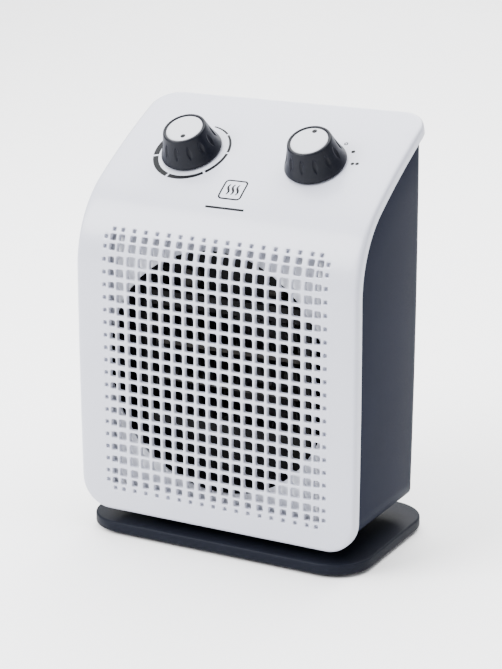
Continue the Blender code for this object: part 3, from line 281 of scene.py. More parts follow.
def cells(full_count):
    """Along one direction: (centre, half size of the hole, low boundary, high boundary) from low to high."""
    centres = [(i * PITCH, 3.2 * MM) for i in range(full_count + 1)]
    edge = (full_count + 1) * PITCH
    centres += [(edge, 2.7 * MM), (edge + 0.76 * PITCH, 2.1 * MM), (edge + 1.38 * PITCH, 1.25 * MM)]
    centres = [(-at, size) for at, size in reversed(centres[1:])] + centres
    found = []
    for i, (at, size) in enumerate(centres):
        low = at - size - 1.1 * MM
        high = at + size + 1.1 * MM
        if i:
            before, before_size = centres[i - 1]
            low = (before + before_size + at - size) / 2
        if i + 1 < len(centres):
            after, after_size = centres[i + 1]
            high = (at + size + after - after_size) / 2
        found.append((at, size, low, high))
    return found


COLUMNS = cells(7)
ROWS = [(at + GRILLE_S, size, low + GRILLE_S, high + GRILLE_S) for at, size, low, high in cells(8)]
SIDE_STEPS = 4  # points along one side of a cell
BLIND_DEPTH = 2.3 * MM  # how deep the outermost, closed holes go


def steps_between(low, high, count):
    return [low + (high - low) * i / count for i in range(count)]


class Sheet:
    """Points on the face, shared where they coincide, and the faces between them."""

    def __init__(self):
        self.bm = bmesh.new()
        self.known = {}

    def at(self, x, s, depth):
        key = (round(x * 1e7), round(s * 1e7), round(depth * 1e7))
        if key not in self.known:
            self.known[key] = self.bm.verts.new(on_face(x, s, depth))
        return self.known[key]

    def face(self, *verts):
        verts = list(dict.fromkeys(verts))
        if len(verts) > 2:
            self.bm.faces.new(verts)

    def band(self, first, second):
        for i in range(len(first)):
            j = (i + 1) % len(first)
            self.face(first[i], first[j], second[j], second[i])


def square_loop(x0, x1, s0, s1):
    """Points round a cell, SIDE_STEPS to a side, from the low left corner."""
    xs, ss = steps_between(x0, x1, SIDE_STEPS), steps_between(s0, s1, SIDE_STEPS)
    back_x, back_s = steps_between(x1, x0, SIDE_STEPS), steps_between(s1, s0, SIDE_STEPS)
    low, right = [(x, s0) for x in xs], [(x1, s) for s in ss]
    high, left = [(x, s1) for x in back_x], [(x0, s) for s in back_s]
    return low + right + high + left


def round_loop(x, s, half, radius):
    """Points round a hole with rounded corners, matching square_loop's points."""
    loop = []
    for side in range(4):
        for step in range(SIDE_STEPS):
            share = step / SIDE_STEPS
            if step == 0:
                angle = math.radians(225)
                px, ps = -half + radius, -half + radius
                point = (px + radius * math.cos(angle), ps + radius * math.sin(angle))
            elif step == 1:
                point = (-half + radius, -half)
            elif step == SIDE_STEPS - 1:
                point = (half - radius, -half)
            else:
                point = (-half + 2 * half * share, -half)
            turn = side * math.pi / 2
            loop.append(
                (x + point[0] * math.cos(turn) - point[1] * math.sin(turn),
                 s + point[0] * math.sin(turn) + point[1] * math.cos(turn))
            )
    return loop


def hole(sheet, column, row, blind):
    x, x_half, x0, x1 = column
    s, s_half, s0, s1 = row
    half = min(x_half, s_half)
    radius = half * 0.44
    soft = min(0.5 * MM, 0.34 * min(x1 - x0 - 2 * half, s1 - s0 - 2 * half) + 0.05 * MM)
    outer = [sheet.at(px, ps, 0.0) for px, ps in square_loop(x0, x1, s0, s1)]
    rings = [outer]
    for turn in (0, 30, 60, 90):
        out = soft * (1 - math.sin(math.radians(turn)))
        deep = soft * (1 - math.cos(math.radians(turn)))
        loop = round_loop(x, s, half + out, radius + out)
        rings.append([sheet.at(px, ps, deep) for px, ps in loop])
    if blind:
        floor = [sheet.at(px, ps, BLIND_DEPTH) for px, ps in round_loop(x, s, half - 0.12 * MM, radius)]
        rings.append(floor)
    else:
        loop = round_loop(x, s, half - 0.08 * MM, radius)
        rings.append([sheet.at(px, ps, PANEL_SKIN) for px, ps in loop])
        rings.append([sheet.at(px, ps, PANEL_SKIN) for px, ps in square_loop(x0, x1, s0, s1)])
    for a, b in zip(rings, rings[1:]):
        sheet.band(a, b)
    if blind:
        sheet.bm.faces.new(rings[-1])
        plain_cell(sheet, column, row, PANEL_SKIN)


def plain_cell(sheet, column, row, depth):
    xs = steps_between(column[2], column[3], SIDE_STEPS) + [column[3]]
    ss = steps_between(row[2], row[3], SIDE_STEPS) + [row[3]]
    for x0, x1 in zip(xs, xs[1:]):
        for s0, s1 in zip(ss, ss[1:]):
            corners = ((x0, s0), (x1, s0), (x1, s1), (x0, s1))
            sheet.face(*[sheet.at(x, s, depth) for x, s in corners])


def rim_point(kind, value, inset):
    """A point of the outline's right half, moved inwards by the inset.

    The value is an angle round the low or the high corner, or a height along the side.
    """
    if kind == "low":
        angle, centre_s, radius = value, BOTTOM_CORNER, BOTTOM_CORNER - inset
        centre_x = HALF_WIDTH - BOTTOM_CORNER
    elif kind == "high":
        angle, centre_s, radius = value, PANEL_LENGTH - TOP_CORNER, TOP_CORNER - inset
        centre_x = HALF_WIDTH - TOP_CORNER
    else:
        return (HALF_WIDTH - inset) * bow(value), value
    s = centre_s + radius * math.sin(angle)
    return (centre_x + radius * math.cos(angle)) * bow(s), s


def panel_rows():
    """The sheet's rows as (kind, value) of their right ends, from the bottom edge up."""
    flat = EDGE_RADIUS
    grille = [s for row in ROWS for s in steps_between(row[2], row[3], SIDE_STEPS)] + [ROWS[-1][3]]
    first = math.asin((grille[0] - BOTTOM_CORNER) / (BOTTOM_CORNER - flat))
    rows = [("low", angle) for angle in steps_between(-math.pi / 2, first, 8)]
    for s in grille:
        if s < BOTTOM_CORNER:
            rows.append(("low", math.asin((s - BOTTOM_CORNER) / (BOTTOM_CORNER - flat))))
        else:
            rows.append(("side", s))
    rows += [("side", s) for s in steps_between(grille[-1], PANEL_LENGTH - TOP_CORNER, 44)[1:]]
    rows += [("high", angle) for angle in steps_between(0, math.pi / 2, 9)] + [("high", math.pi / 2)]
    return rows, grille


def build_panel():
    sheet = Sheet()
    for i, row in enumerate(ROWS):
        for j, column in enumerate(COLUMNS):
            edge_row = i in (0, len(ROWS) - 1)
            edge_column = j in (0, len(COLUMNS) - 1)
            if edge_row and edge_column:
                plain_cell(sheet, column, row, 0.0)
                plain_cell(sheet, column, row, PANEL_SKIN)
            else:
                hole(sheet, column, row, edge_row or edge_column)
    rows, grille = panel_rows()
    grille_xs = [x for c in COLUMNS for x in steps_between(c[2], c[3], SIDE_STEPS)] + [COLUMNS[-1][3]]
    margin_steps = 4
    low_s, high_s = grille[0], grille[-1]

    def row_points(kind, value, depth):
        edge_x, s = rim_point(kind, value, EDGE_RADIUS)
        if kind == "low" and abs(s - low_s) < 1e-6 or low_s <= s <= high_s:
            s = min(grille, key=lambda g: abs(g - s))
            inner = grille_xs
        else:
            near = low_s if s < low_s else high_s
            width = rim_point("side", near, EDGE_RADIUS)[0]
            if near < BOTTOM_CORNER:
                angle = math.asin((near - BOTTOM_CORNER) / (BOTTOM_CORNER - EDGE_RADIUS))
                width = rim_point("low", angle, EDGE_RADIUS)[0]
            inner = [x * edge_x / width for x in grille_xs]
        right = [inner[-1] + (edge_x - inner[-1]) * i / margin_steps for i in range(1, margin_steps + 1)]
        xs = [-x for x in reversed(right)] + list(inner) + right
        return [sheet.at(x, s, depth) for x in xs], s

    for depth in (0.0, PANEL_SKIN):
        lines = [row_points(kind, value, depth) for kind, value in rows]
        for (a, s_a), (b, s_b) in zip(lines, lines[1:]):
            in_grille = low_s - 1e-7 <= s_a and s_b <= high_s + 1e-7
            for i in range(len(a) - 1):
                if in_grille and margin_steps <= i < len(a) - 1 - margin_steps:
                    continue
                sheet.face(a[i], a[i + 1], b[i + 1], b[i])
    profile = []
    for turn in (22.5, 45, 67.5, 90):
        sine, cosine = math.sin(math.radians(turn)), math.cos(math.radians(turn))
        profile.append((EDGE_RADIUS * (1 - sine), EDGE_RADIUS * (1 - cosine)))
    profile += [(0.0, PANEL_WRAP - 0.35 * MM), (0.35 * MM, PANEL_WRAP), (PANEL_WALL - 0.3 * MM, PANEL_WRAP)]
    profile += [(PANEL_WALL, PANEL_WRAP - 0.3 * MM), (PANEL_WALL, PANEL_SKIN + 0.4 * MM)]

    def end_run(kind, depth_inset, reverse):
        """Points along the flat bottom or top edge, at the same shares as the sheet's own."""
        inset, depth = depth_inset
        value = -math.pi / 2 if kind == "low" else math.pi / 2
        _, s = rim_point(kind, value, inset)
        edge_flat, s_flat = rim_point(kind, value, EDGE_RADIUS)
        near = low_s if kind == "low" else high_s
        if kind == "low":
            angle = math.asin((near - BOTTOM_CORNER) / (BOTTOM_CORNER - EDGE_RADIUS))
            width = rim_point("low", angle, EDGE_RADIUS)[0]
        else:
            width = rim_point("side", near, EDGE_RADIUS)[0]
        inner = [x * edge_flat / width for x in grille_xs]
        right = [inner[-1] + (edge_flat - inner[-1]) * i / margin_steps for i in range(1, margin_steps)]
        xs = [-x for x in reversed(right)] + inner + right
        xs = [x * bow(s) / bow(s_flat) for x in xs]
        return [(x, s, depth) for x in (reversed(xs) if reverse else xs)]

    def loop(inset, depth):
        right = [(*rim_point(kind, value, inset), depth) for kind, value in rows]
        left = [(-x, s, d) for x, s, d in reversed(right)]
        top = end_run("high", (inset, depth), True)
        bottom = end_run("low", (inset, depth), False)
        return [sheet.at(*p) for p in bottom + right + top + left]

    loops = [loop(EDGE_RADIUS, 0.0)] + [loop(*p) for p in profile] + [loop(EDGE_RADIUS, PANEL_SKIN)]
    for a, b in zip(loops, loops[1:]):
        sheet.band(a, b)
    return mesh_from(sheet.bm, "grille_panel")


add_piece("grille_panel", build_panel(), WHITE, "heater", ["front_panel"])


# --- Knobs and caps ---

GRIP_COUNT = 12
GRIP_HALF_WIDTH = 1.7 * MM
GRIP_DEPTH = 0.80 * MM
CAP_SEAT = KNOB_TOP - 1.4 * MM  # radius of the round recess that holds the cap
SEAT_FLOOR = KNOB_HEIGHT - 1.4 * MM
BORE_RADIUS = 3.3 * MM  # the knob's bore for its spindle
BORE_DEPTH = 10 * MM


def knob_radius(height):
    """The grip's radius at a height above the knob's foot."""
    stations = [(0.8, 19.2), (2.2, 18.75), (4.5, 17.75), (7.3, 16.6), (12.8, 14.85), (17.1, 13.6)]
    for (h0, r0), (h1, r1) in zip(stations, stations[1:]):
        if height <= h1 * MM + 1e-9:
            return (r0 + (r1 - r0) * (height / MM - h0) / (h1 - h0)) * MM
    return stations[-1][1] * MM


def grip_depth(angle, height):
    """How deep an almond-shaped dimple is at a point of the grip."""
    pitch = 2 * math.pi / GRIP_COUNT
    off = abs((angle + pitch / 2) % pitch - pitch / 2) * knob_radius(height)
    share = (height - 9.8 * MM) / (4.3 * MM)
    width = GRIP_HALF_WIDTH * (1 - share * share)
    if abs(share) >= 1 or off >= width:
        return 0.0
    return GRIP_DEPTH * (1 - (off / width) ** 2) * (1 - share * share) ** 0.5


def build_knob(name):
    steps = 360
    profile = [(BORE_RADIUS, 0.0), (18.7 * MM, 0.0), (19.02 * MM, 0.22 * MM)]
    profile += [(knob_radius(h), h) for h in [0.8 * MM + 16.1 * MM * i / 34 for i in range(35)]]
    profile.append((KNOB_TOP + 0.36 * MM, KNOB_HEIGHT - 0.35 * MM))
    profile.append((KNOB_TOP + 0.10 * MM, KNOB_HEIGHT - 0.08 * MM))
    profile.append((KNOB_TOP - 0.20 * MM, KNOB_HEIGHT))
    profile.append((CAP_SEAT + 0.25 * MM, KNOB_HEIGHT))
    profile += [(CAP_SEAT, KNOB_HEIGHT - 0.2 * MM), (CAP_SEAT, SEAT_FLOOR)]
    profile = [(0.0, BORE_DEPTH), (BORE_RADIUS, BORE_DEPTH)] + profile + [(0.0, SEAT_FLOOR)]
    bm = lathe([(r, h + KNOB_LIFT) for r, h in profile], steps)
    for vert in bm.verts:
        radius = math.hypot(vert.co.x, vert.co.y)
        if radius > KNOB_TOP:
            angle = math.atan2(vert.co.x, vert.co.y)
            share = 1 - grip_depth(angle, vert.co.z - KNOB_LIFT) / radius
            vert.co.x *= share
            vert.co.y *= share
    return mesh_from(bm, name)


def build_cap(name):
    top = KNOB_LIFT + KNOB_HEIGHT
    edge = CAP_SEAT - 0.25 * MM
    low = top - 1.1 * MM
    profile = [(0, low), (edge - 0.1 * MM, low), (edge, low + 0.1 * MM), (edge, top - 0.62 * MM)]
    profile += [(edge - 0.12 * MM, top - 0.40 * MM), (edge - 0.42 * MM, top - 0.27 * MM)]
    profile += [(edge * share, top - 0.1 * MM - 0.14 * MM * share**2) for share in (0.9, 0.7, 0.5, 0.3, 0.1)]
    profile.append((0, top - 0.1 * MM))
    return mesh_from(lathe(profile, 120), name)


def build_pointer(name, radius, angle):
    """The cap's pointer: a small round button, sunk into a soft ring."""
    top = KNOB_LIFT + KNOB_HEIGHT - 0.10 * MM
    profile = [(0, top - 0.5 * MM), (1.60 * MM, top - 0.5 * MM), (1.60 * MM, top - 0.02 * MM)]
    profile += [(1.40 * MM, top + 0.06 * MM), (0.6 * MM, top + 0.04 * MM), (0, top + 0.03 * MM)]
    mesh = mesh_from(lathe(profile, 28), name)
    mesh.transform(Matrix.Translation((radius * math.sin(angle), radius * math.cos(angle), 0)))
    return mesh


POINTERS = {"thermostat": (-KNOB_X, 7.4 * MM, math.radians(160)), "selector": (KNOB_X, 8.4 * MM, 0.0)}
for control, (x, radius, angle) in POINTERS.items():
    body = f"{control}_dial"
    place = knob_frame(x)
    grip_mesh = build_knob(f"{control}_grip")
    cap_mesh = build_cap(f"{control}_cap_disc")
    pointer_mesh = build_pointer(f"{control}_pointer", radius, angle)
    for mesh in (grip_mesh, cap_mesh, pointer_mesh):
        mesh.transform(place)
    add_piece(f"{control}_grip", grip_mesh, KNOB, body, [f"{control}_knob"], 50)
    add_piece(f"{control}_cap_disc", cap_mesh, CAP, body, [f"{control}_knob_cap"], 50)
    add_piece(f"{control}_pointer", pointer_mesh, PRINT, body, smooth_angle=60)


# --- Printed marks ---

INK = 0.05 * MM  # how far the ink stands above the panel


class Print:
    """Thin closed shapes that follow the panel's face."""

    def __init__(self):
        self.bm = bmesh.new()

    def dense(self, points, widths, closed):
        """The same line with a point every millimetre, so that it bends with the face."""
        found, found_widths = [], []
        for i in range(len(points) if closed else len(points) - 1):
            (x0, s0), (x1, s1) = points[i], points[(i + 1) % len(points)]
            w0, w1 = widths[i], widths[(i + 1) % len(points)]
            count = max(1, math.ceil(math.hypot(x1 - x0, s1 - s0) / MM))
            for step in range(count):
                share = step / count
                found.append((x0 + (x1 - x0) * share, s0 + (s1 - s0) * share))
                found_widths.append(w0 + (w1 - w0) * share)
        if not closed:
            found.append(points[-1])
            found_widths.append(widths[-1])
        return found, found_widths

    def ribbon(self, points, widths, closed=False):
        points, widths = self.dense(points, widths, closed)
        count = len(points)
        rims = []
        for i, (x, s) in enumerate(points):
            before = points[i - 1] if closed or i else points[0]
            after = points[(i + 1) % count] if closed or i + 1 < count else points[-1]
            dx, ds = after[0] - before[0], after[1] - before[1]
            length = math.hypot(dx, ds)
            half = widths[i] / 2
            nx, ns = -ds / length * half, dx / length * half
            rims.append(((x + nx, s + ns), (x - nx, s - ns)))
        rings = []
        for left, right in rims:
            corners = ((left, -INK), (right, -INK), (right, INK), (left, INK))
            rings.append([self.bm.verts.new(on_face(x, s, depth)) for (x, s), depth in corners])
        pairs = list(zip(rings, rings[1:]))
        if closed:
            pairs.append((rings[-1], rings[0]))
        for a, b in pairs:
            for i in range(4):
                j = (i + 1) % 4
                self.bm.faces.new((a[i], a[j], b[j], b[i]))
        if not closed:
            self.bm.faces.new(rings[0])
            self.bm.faces.new(rings[-1][::-1])

    def dot(self, x, s, radius):
        turns = [2 * math.pi * i / 24 for i in range(24)]
        rings = []
        for depth in (-INK, INK):
            loop = [on_face(x + radius * math.cos(t), s + radius * math.sin(t), depth) for t in turns]
            rings.append([self.bm.verts.new(p) for p in loop])
        for i in range(24):
            j = (i + 1) % 24
            self.bm.faces.new((rings[0][i], rings[0][j], rings[1][j], rings[1][i]))
        self.bm.faces.new(rings[0])
        self.bm.faces.new(rings[1][::-1])

    def finish(self, name, ink):
        return add_piece(name, mesh_from(self.bm, name), ink, "heater", smooth_angle=20)


def polar(x, radius, degrees):
    """A point round a knob, clockwise from straight up the slope."""
    angle = math.radians(degrees)
    return x + radius * math.sin(angle), KNOB_S + radius * math.cos(angle)


def print_thermostat_ring():
    """A heat ring that grows thicker clockwise, in six lengths."""
    ends = [10, 43, 87, 136, 196, 252, 305]
    ring = Print()
    for low, high in zip(ends, ends[1:]):
        start = low + (1.6 if low > ends[0] else 0)
        stop = high - (1.6 if high < ends[-1] else 0)
        count = round((stop - start) / 3)
        angles = [start + (stop - start) * i / count for i in range(count + 1)]
        widths = [(1.05 + 3.15 * (a - ends[0]) / (ends[-1] - ends[0])) * MM for a in angles]
        points = [polar(-KNOB_X, 25 * MM - w / 2, a) for a, w in zip(angles, widths)]
        ring.ribbon(points, widths)
    ring.finish("thermostat_ring_print", PRINT)


def print_selector_marks():
    marks = Print()
    x, s = polar(KNOB_X, 23.2 * MM, 29)
    turns = [2 * math.pi * i / 28 for i in range(28)]
    circle = [(x + 0.95 * MM * math.cos(t), s + 0.95 * MM * math.sin(t)) for t in turns]
    marks.ribbon(circle, [0.70 * MM] * len(circle), closed=True)
    marks.dot(*polar(KNOB_X, 23.2 * MM, 53.7), 1.3 * MM)
    marks.dot(*polar(KNOB_X, 22.8 * MM, 81.8), 1.2 * MM)
    marks.dot(*polar(KNOB_X, 25.7 * MM, 81.8), 1.2 * MM)
    marks.ribbon([polar(KNOB_X, r * MM, 0) for r in (22.4, 24.2)], [0.5 * MM] * 2)
    marks.finish("selector_marks_print", PRINT)


def print_emblem():
    """A plain heat sign: a rounded square frame, three rising waves and a bar below."""
    emblem = Print()
    centre_x, centre_s, half, corner = -0.6 * MM, 216.6 * MM, 7.3 * MM, 2.2 * MM
    frame_line = []
    for quarter in range(4):
        cx = (half - corner) * (1 if quarter in (0, 3) else -1)
        cs = (half - corner) * (1 if quarter in (0, 1) else -1)
        for step in range(7):
            angle = math.pi / 2 * (quarter + step / 6)
            x = centre_x + cx + corner * math.cos(angle)
            s = centre_s + cs + corner * math.sin(angle)
            frame_line.append((x, s))
    emblem.ribbon(frame_line, [1.15 * MM] * len(frame_line), closed=True)
    for shift in (-3.1, 0.0, 3.1):
        wave = []
        for i in range(25):
            share = i / 24
            sway = 0.85 * MM * math.sin(2 * math.pi * share)
            wave.append((centre_x + shift * MM + sway, centre_s + (share - 0.5) * 8.2 * MM))
        emblem.ribbon(wave, [(0.70 + 0.80 * math.sin(math.pi * i / 24)) * MM for i in range(25)])
    bar_s = 202.4 * MM
    bar = [(centre_x + (i / 20 - 0.5) * 26 * MM, bar_s) for i in range(21)]
    emblem.ribbon(bar, [1.5 * MM] * 21)
    emblem.finish("heat_sign_print", PRINT)


print_thermostat_ring()
print_selector_marks()
print_emblem()


# --- CAD shapes with softened edges ---


def softened(node, name, width, finish, angle=35):
    """The CAD node's shape with its sharp edges rounded a little."""
    bm = bmesh.new()
    bm.from_mesh(NODES[node].data)
    bmesh.ops.remove_doubles(bm, verts=bm.verts, dist=0.000002)
    bmesh.ops.dissolve_limit(
        bm, angle_limit=math.radians(0.2), verts=bm.verts, edges=bm.edges, delimit={"NORMAL"}
    )
    source = bpy.data.objects.new("source", mesh_from(bm, "source"))
    bpy.context.scene.collection.objects.link(source)
    bevel = source.modifiers.new("edges", "BEVEL")
    bevel.width = width
    bevel.segments = 2
    bevel.limit_method = "ANGLE"
    bevel.angle_limit = math.radians(angle)
    bevel.use_clamp_overlap = True
    bpy.context.view_layer.update()
    graph = bpy.context.evaluated_depsgraph_get()
    mesh = bpy.data.meshes.new_from_object(source.evaluated_get(graph))
    mesh.name = name
    bpy.data.objects.remove(source, do_unlink=True)
    return add_piece(name, mesh, finish, "heater", [node], 40)


softened("rear_housing", "housing_shell", 0.35 * MM, DARK)
softened("base_pedestal", "base_post", 0.40 * MM, BASE)
softened("cord_gland", "cord_gland_boot", 0.35 * MM, RUBBER)


# --- Base ---

BASE_HALF = (96 * MM, 58.5 * MM)
BASE_CORNER = 26 * MM
BASE_LOW = 1.5 * MM
BASE_HIGH = 8.5 * MM
BASE_EDGE = 1.3 * MM
FOOT_NODES = [f"rubber_foot_{number}" for number in range(1, 5)]
POST_SCREW_NODES = [f"base_screw_{number}" for number in range(1, 3)]
FOOT_POCKET = [(0, 0), (7.3, 0), (7.3, 2.7), (0, 2.7)]  # radius and height in millimetres
SCREW_POCKET = [(0, 0), (4.4, 0), (4.4, 4.2), (2.2, 4.2), (2.2, 10), (0, 10)]


def carved(bm, name, cutters):
    """The mesh of a shape less its cutters."""
    shape = bpy.data.objects.new(name, mesh_from(bm, name))
    bpy.context.scene.collection.objects.link(shape)
    helpers = []
    for cutter in cutters:
        obj = bpy.data.objects.new("cutter", mesh_from(cutter, "cutter"))
        bpy.context.scene.collection.objects.link(obj)
        change = shape.modifiers.new("cut", "BOOLEAN")
        change.operation = "DIFFERENCE"
        change.object = obj
        change.solver = "EXACT"
        helpers.append(obj)
    bpy.context.view_layer.update()
    graph = bpy.context.evaluated_depsgraph_get()
    mesh = bpy.data.meshes.new_from_object(shape.evaluated_get(graph))
    for obj in [shape, *helpers]:
        bpy.data.objects.remove(obj, do_unlink=True)
    return mesh


def build_base_slab():
    """A flat slab with large round corners and a soft edge, hollowed below for its feet and screws."""
    profile = []
    for turn in (0, 22.5, 45, 67.5, 90):
        sine, cosine = math.sin(math.radians(turn)), math.cos(math.radians(turn))
        profile.append((BASE_EDGE * (1 - sine), BASE_LOW + BASE_EDGE * (1 - cosine)))
    profile += [(inset, BASE_LOW + BASE_HIGH - z) for inset, z in reversed(profile)]
    bm = bmesh.new()
    rings = []
    for inset, z in profile:
        ring = []
        for quarter in range(4):
            cx = (BASE_HALF[0] - BASE_CORNER) * (1 if quarter in (0, 3) else -1)
            cy = (BASE_HALF[1] - BASE_CORNER) * (1 if quarter in (0, 1) else -1)
            for step in range(25):
                angle = math.pi / 2 * (quarter + step / 24)
                reach = BASE_CORNER - inset
                ring.append(bm.verts.new((cx + reach * math.cos(angle), cy + reach * math.sin(angle), z)))
        rings.append(ring)
    for a, b in zip(rings, rings[1:]):
        for i in range(len(a)):
            j = (i + 1) % len(a)
            bm.faces.new((a[i], a[j], b[j], b[i]))
    bm.faces.new(rings[0])
    bm.faces.new(rings[-1])
    cutters = []
    for name in [*FOOT_NODES, *POST_SCREW_NODES]:
        low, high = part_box(name)
        hollow = FOOT_POCKET if name in FOOT_NODES else SCREW_POCKET
        cutter = lathe([(radius * MM, z * MM) for radius, z in hollow], 48)
        middle = ((low.x + high.x) / 2, (low.y + high.y) / 2, 0)
        bmesh.ops.translate(cutter, verts=cutter.verts, vec=middle)
        cutters.append(cutter)
    return carved(bm, "base_slab", cutters)


add_piece("base_slab", build_base_slab(), BASE, "heater", ["base_plate"], 40)

# --- Screws, feet and label ---


def build_screw(name, head_radius, head_height, shank_radius, length):
    """A pan-head screw along Z with a cross recess and a fine thread; its head starts at Z = 0."""
    profile = [(0, head_height)]
    profile += [(head_radius * math.sin(t), head_height * (0.35 + 0.65 * math.cos(t)))
                for t in [math.radians(d) for d in (18, 36, 54, 72, 84)]]
    profile += [(head_radius, head_height * 0.3), (head_radius, 0.15 * MM), (head_radius - 0.15 * MM, 0)]
    profile.append((shank_radius, 0))
    turns = int((length - 2 * MM) / (0.8 * MM))
    for i in range(turns):
        low = -0.6 * MM - i * 0.8 * MM
        profile += [(shank_radius, low), (shank_radius - 0.3 * MM, low - 0.4 * MM)]
    profile += [(shank_radius * 0.8, -length + 1.2 * MM), (0, -length)]
    cutters = []
    for turn in (0, math.pi / 2):
        cutter = bmesh.new()
        size = Matrix.Diagonal((head_radius * 1.15, 0.75 * MM, 2.4 * MM, 1))
        bmesh.ops.create_cube(cutter, size=1, matrix=Matrix.Translation((0, 0, head_height)) @ size)
        for vert in cutter.verts:
            if vert.co.z < head_height:
                vert.co.x *= 0.55
        bmesh.ops.rotate(cutter, verts=cutter.verts, cent=(0, 0, 0), matrix=Matrix.Rotation(turn, 3, "Z"))
        cutters.append(cutter)
    return carved(lathe(profile, 32), name, cutters)


BACKWARDS = (0, 1, 0)
DOWNWARDS = (0, 0, -1)


def place_screw(node, name, mesh, direction, length):
    """Stands the screw in its CAD node's place, its head towards the direction."""
    low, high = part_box(node)
    middle = (low + high) / 2
    if direction == BACKWARDS:
        tip = Vector((middle.x, low.y, middle.z))
    else:
        tip = Vector((middle.x, middle.y, high.z))
    direction = Vector(direction)
    seat = tip + direction * length
    turn = direction.to_track_quat("Z", "Y").to_matrix().to_4x4()
    mesh = mesh.copy()
    mesh.transform(Matrix.Translation(seat) @ turn)
    add_piece(name, mesh, STEEL, "heater", [node], 30)


CASE_SCREW_LENGTH = 10 * MM
POST_SCREW_LENGTH = 21 * MM
case_screw = build_screw("case_screw", 3.5 * MM, 2.6 * MM, 1.5 * MM, CASE_SCREW_LENGTH)
post_screw = build_screw("post_screw", 3.4 * MM, 1.9 * MM, 1.45 * MM, POST_SCREW_LENGTH)
for number in range(1, 5):
    place_screw(f"housing_screw_{number}", f"case_screw_{number}", case_screw, BACKWARDS, CASE_SCREW_LENGTH)
for number in range(1, 3):
    place_screw(f"base_screw_{number}", f"post_screw_{number}", post_screw, DOWNWARDS, POST_SCREW_LENGTH)

FOOT_PROFILE = [(0, 0.35), (3.6, 0.35), (4.0, 0.0), (6.0, 0.0), (6.45, 0.12), (6.85, 0.5), (7.0, 0.9)]
FOOT_PROFILE += [(6.95, 1.6), (6.9, 2.3), (0, 2.3)]
for number in range(1, 5):
    low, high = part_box(f"rubber_foot_{number}")
    foot = mesh_from(lathe([(r * MM, h * MM) for r, h in FOOT_PROFILE], 64), f"foot_pad_{number}")
    foot.transform(Matrix.Translation(((low.x + high.x) / 2, (low.y + high.y) / 2, 0)))
    add_piece(f"foot_pad_{number}", foot, RUBBER, "heater", [f"rubber_foot_{number}"], 40)


BACK_TOP_Y = 46.8 * MM  # the back leans out a little towards the top
BACK_TOP_Z = 258 * MM
BACK_LEAN = 0.0178


def back_y(z):
    return BACK_TOP_Y + BACK_LEAN * (z - BACK_TOP_Z)


def back_slab(name, centre, size, corner, rise, finish):
    """A thin rounded plate on the housing's back."""
    bm = bmesh.new()
    rings = []
    for inset, out in ((0, -0.2 * MM), (0, rise * 0.6), (rise * 0.5, rise)):
        ring = []
        for quarter in range(4):
            cx = (size[0] / 2 - corner) * (1 if quarter in (0, 3) else -1)
            cz = (size[1] / 2 - corner) * (1 if quarter in (0, 1) else -1)
            for step in range(7):
                angle = math.pi / 2 * (quarter + step / 6)
                x = centre[0] + cx + (corner - inset) * math.cos(angle)
                z = centre[1] + cz + (corner - inset) * math.sin(angle)
                ring.append(bm.verts.new((x, back_y(z) + out, z)))
        rings.append(ring)
    for a, b in zip(rings, rings[1:]):
        for i in range(28):
            j = (i + 1) % 28
            bm.faces.new((a[i], a[j], b[j], b[i]))
    bm.faces.new(rings[0])
    bm.faces.new(rings[-1][::-1])
    add_piece(name, mesh_from(bm, name), finish, "heater", smooth_angle=30)


back_slab("rating_label", (0, 213.5 * MM), (64 * MM, 30 * MM), 2 * MM, 0.16 * MM, LABEL)
LABEL_BARS = [(34, -10), (52, -1), (46, -4), (28, -13)]  # width and place along X in millimetres
for row, (width, shift) in enumerate(LABEL_BARS):
    name = f"rating_label_bar_{row + 1}"
    centre, size = (shift * MM, (222.5 - 6 * row) * MM), (width * MM, 1.8 * MM)
    back_slab(name, centre, size, 0.5 * MM, 0.22 * MM, PRINT)

# --- Camera, light and floor ---


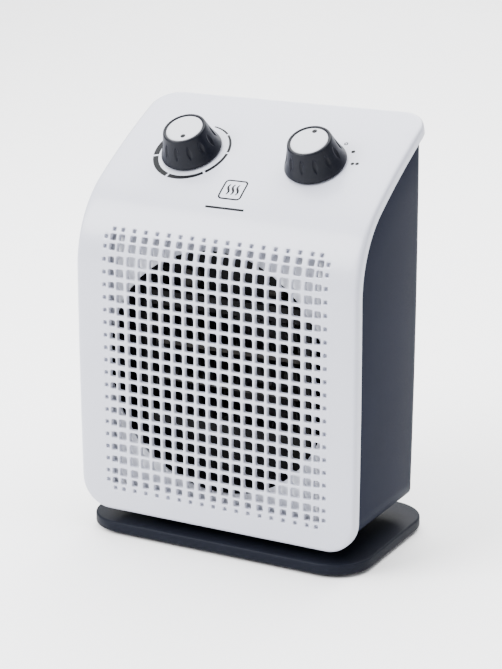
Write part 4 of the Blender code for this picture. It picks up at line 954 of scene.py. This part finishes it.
CAMERA_PLACE = (0.568788, -1.057778, 0.480413)
CAMERA_VIEW = (-0.45688937, 0.84325342, -0.28315327)
CAMERA_RIGHT = (0.87955621, 0.47578946, -0.00229129)
CAMERA_UP = (-0.1327892, 0.25009608, 0.95907193)
LENS = 108.61  # millimetres, for a sensor 36 mm wide


def make_camera():
    data = bpy.data.cameras.new("camera")
    data.lens = LENS
    data.sensor_width = 36
    data.clip_end = 20
    camera = bpy.data.objects.new("camera", data)
    bpy.context.scene.collection.objects.link(camera)
    turn = Matrix((CAMERA_RIGHT, CAMERA_UP, -Vector(CAMERA_VIEW))).transposed().to_4x4()
    camera.matrix_world = Matrix.Translation(CAMERA_PLACE) @ turn
    bpy.context.scene.camera = camera


def area_light(name, place, target, size, power):
    data = bpy.data.lights.new(name, "AREA")
    data.shape = "RECTANGLE"
    data.size, data.size_y = size
    data.energy = power
    light = bpy.data.objects.new(name, data)
    bpy.context.scene.collection.objects.link(light)
    light.location = place
    light.rotation_euler = (Vector(target) - Vector(place)).to_track_quat("-Z", "Y").to_euler()


def make_stage():
    bm = bmesh.new()
    bmesh.ops.create_grid(bm, x_segments=24, y_segments=24, size=12)
    floor = bpy.data.objects.new("floor", mesh_from(bm, "floor"))
    bpy.context.scene.collection.objects.link(floor)
    floor.location.z = -0.0004
    paper = moulded("floor_paper", (0.93, 0.93, 0.935), 0.9, grain=300, bump=0.02, spread=0.004)
    floor.data.materials.append(paper)
    world = bpy.data.worlds.new("studio")
    world.use_nodes = True
    background = world.node_tree.nodes["Background"]
    background.inputs["Color"].default_value = (0.97, 0.98, 1.0, 1)
    background.inputs["Strength"].default_value = 0.75
    bpy.context.scene.world = world


make_camera()
make_stage()
area_light("key", (-0.9, -1.3, 1.3), (0, 0, 0.12), (1.1, 1.1), 88)
area_light("top", (-0.1, 0.3, 1.8), (0, 0, 0.1), (2.4, 2.0), 120)
area_light("backdrop", (-0.9, 2.6, 1.9), (-1.0, 1.9, 0), (3.0, 1.6), 150)
area_light("side", (1.6, -0.2, 0.7), (0, 0, 0.12), (0.5, 1.0), 3)
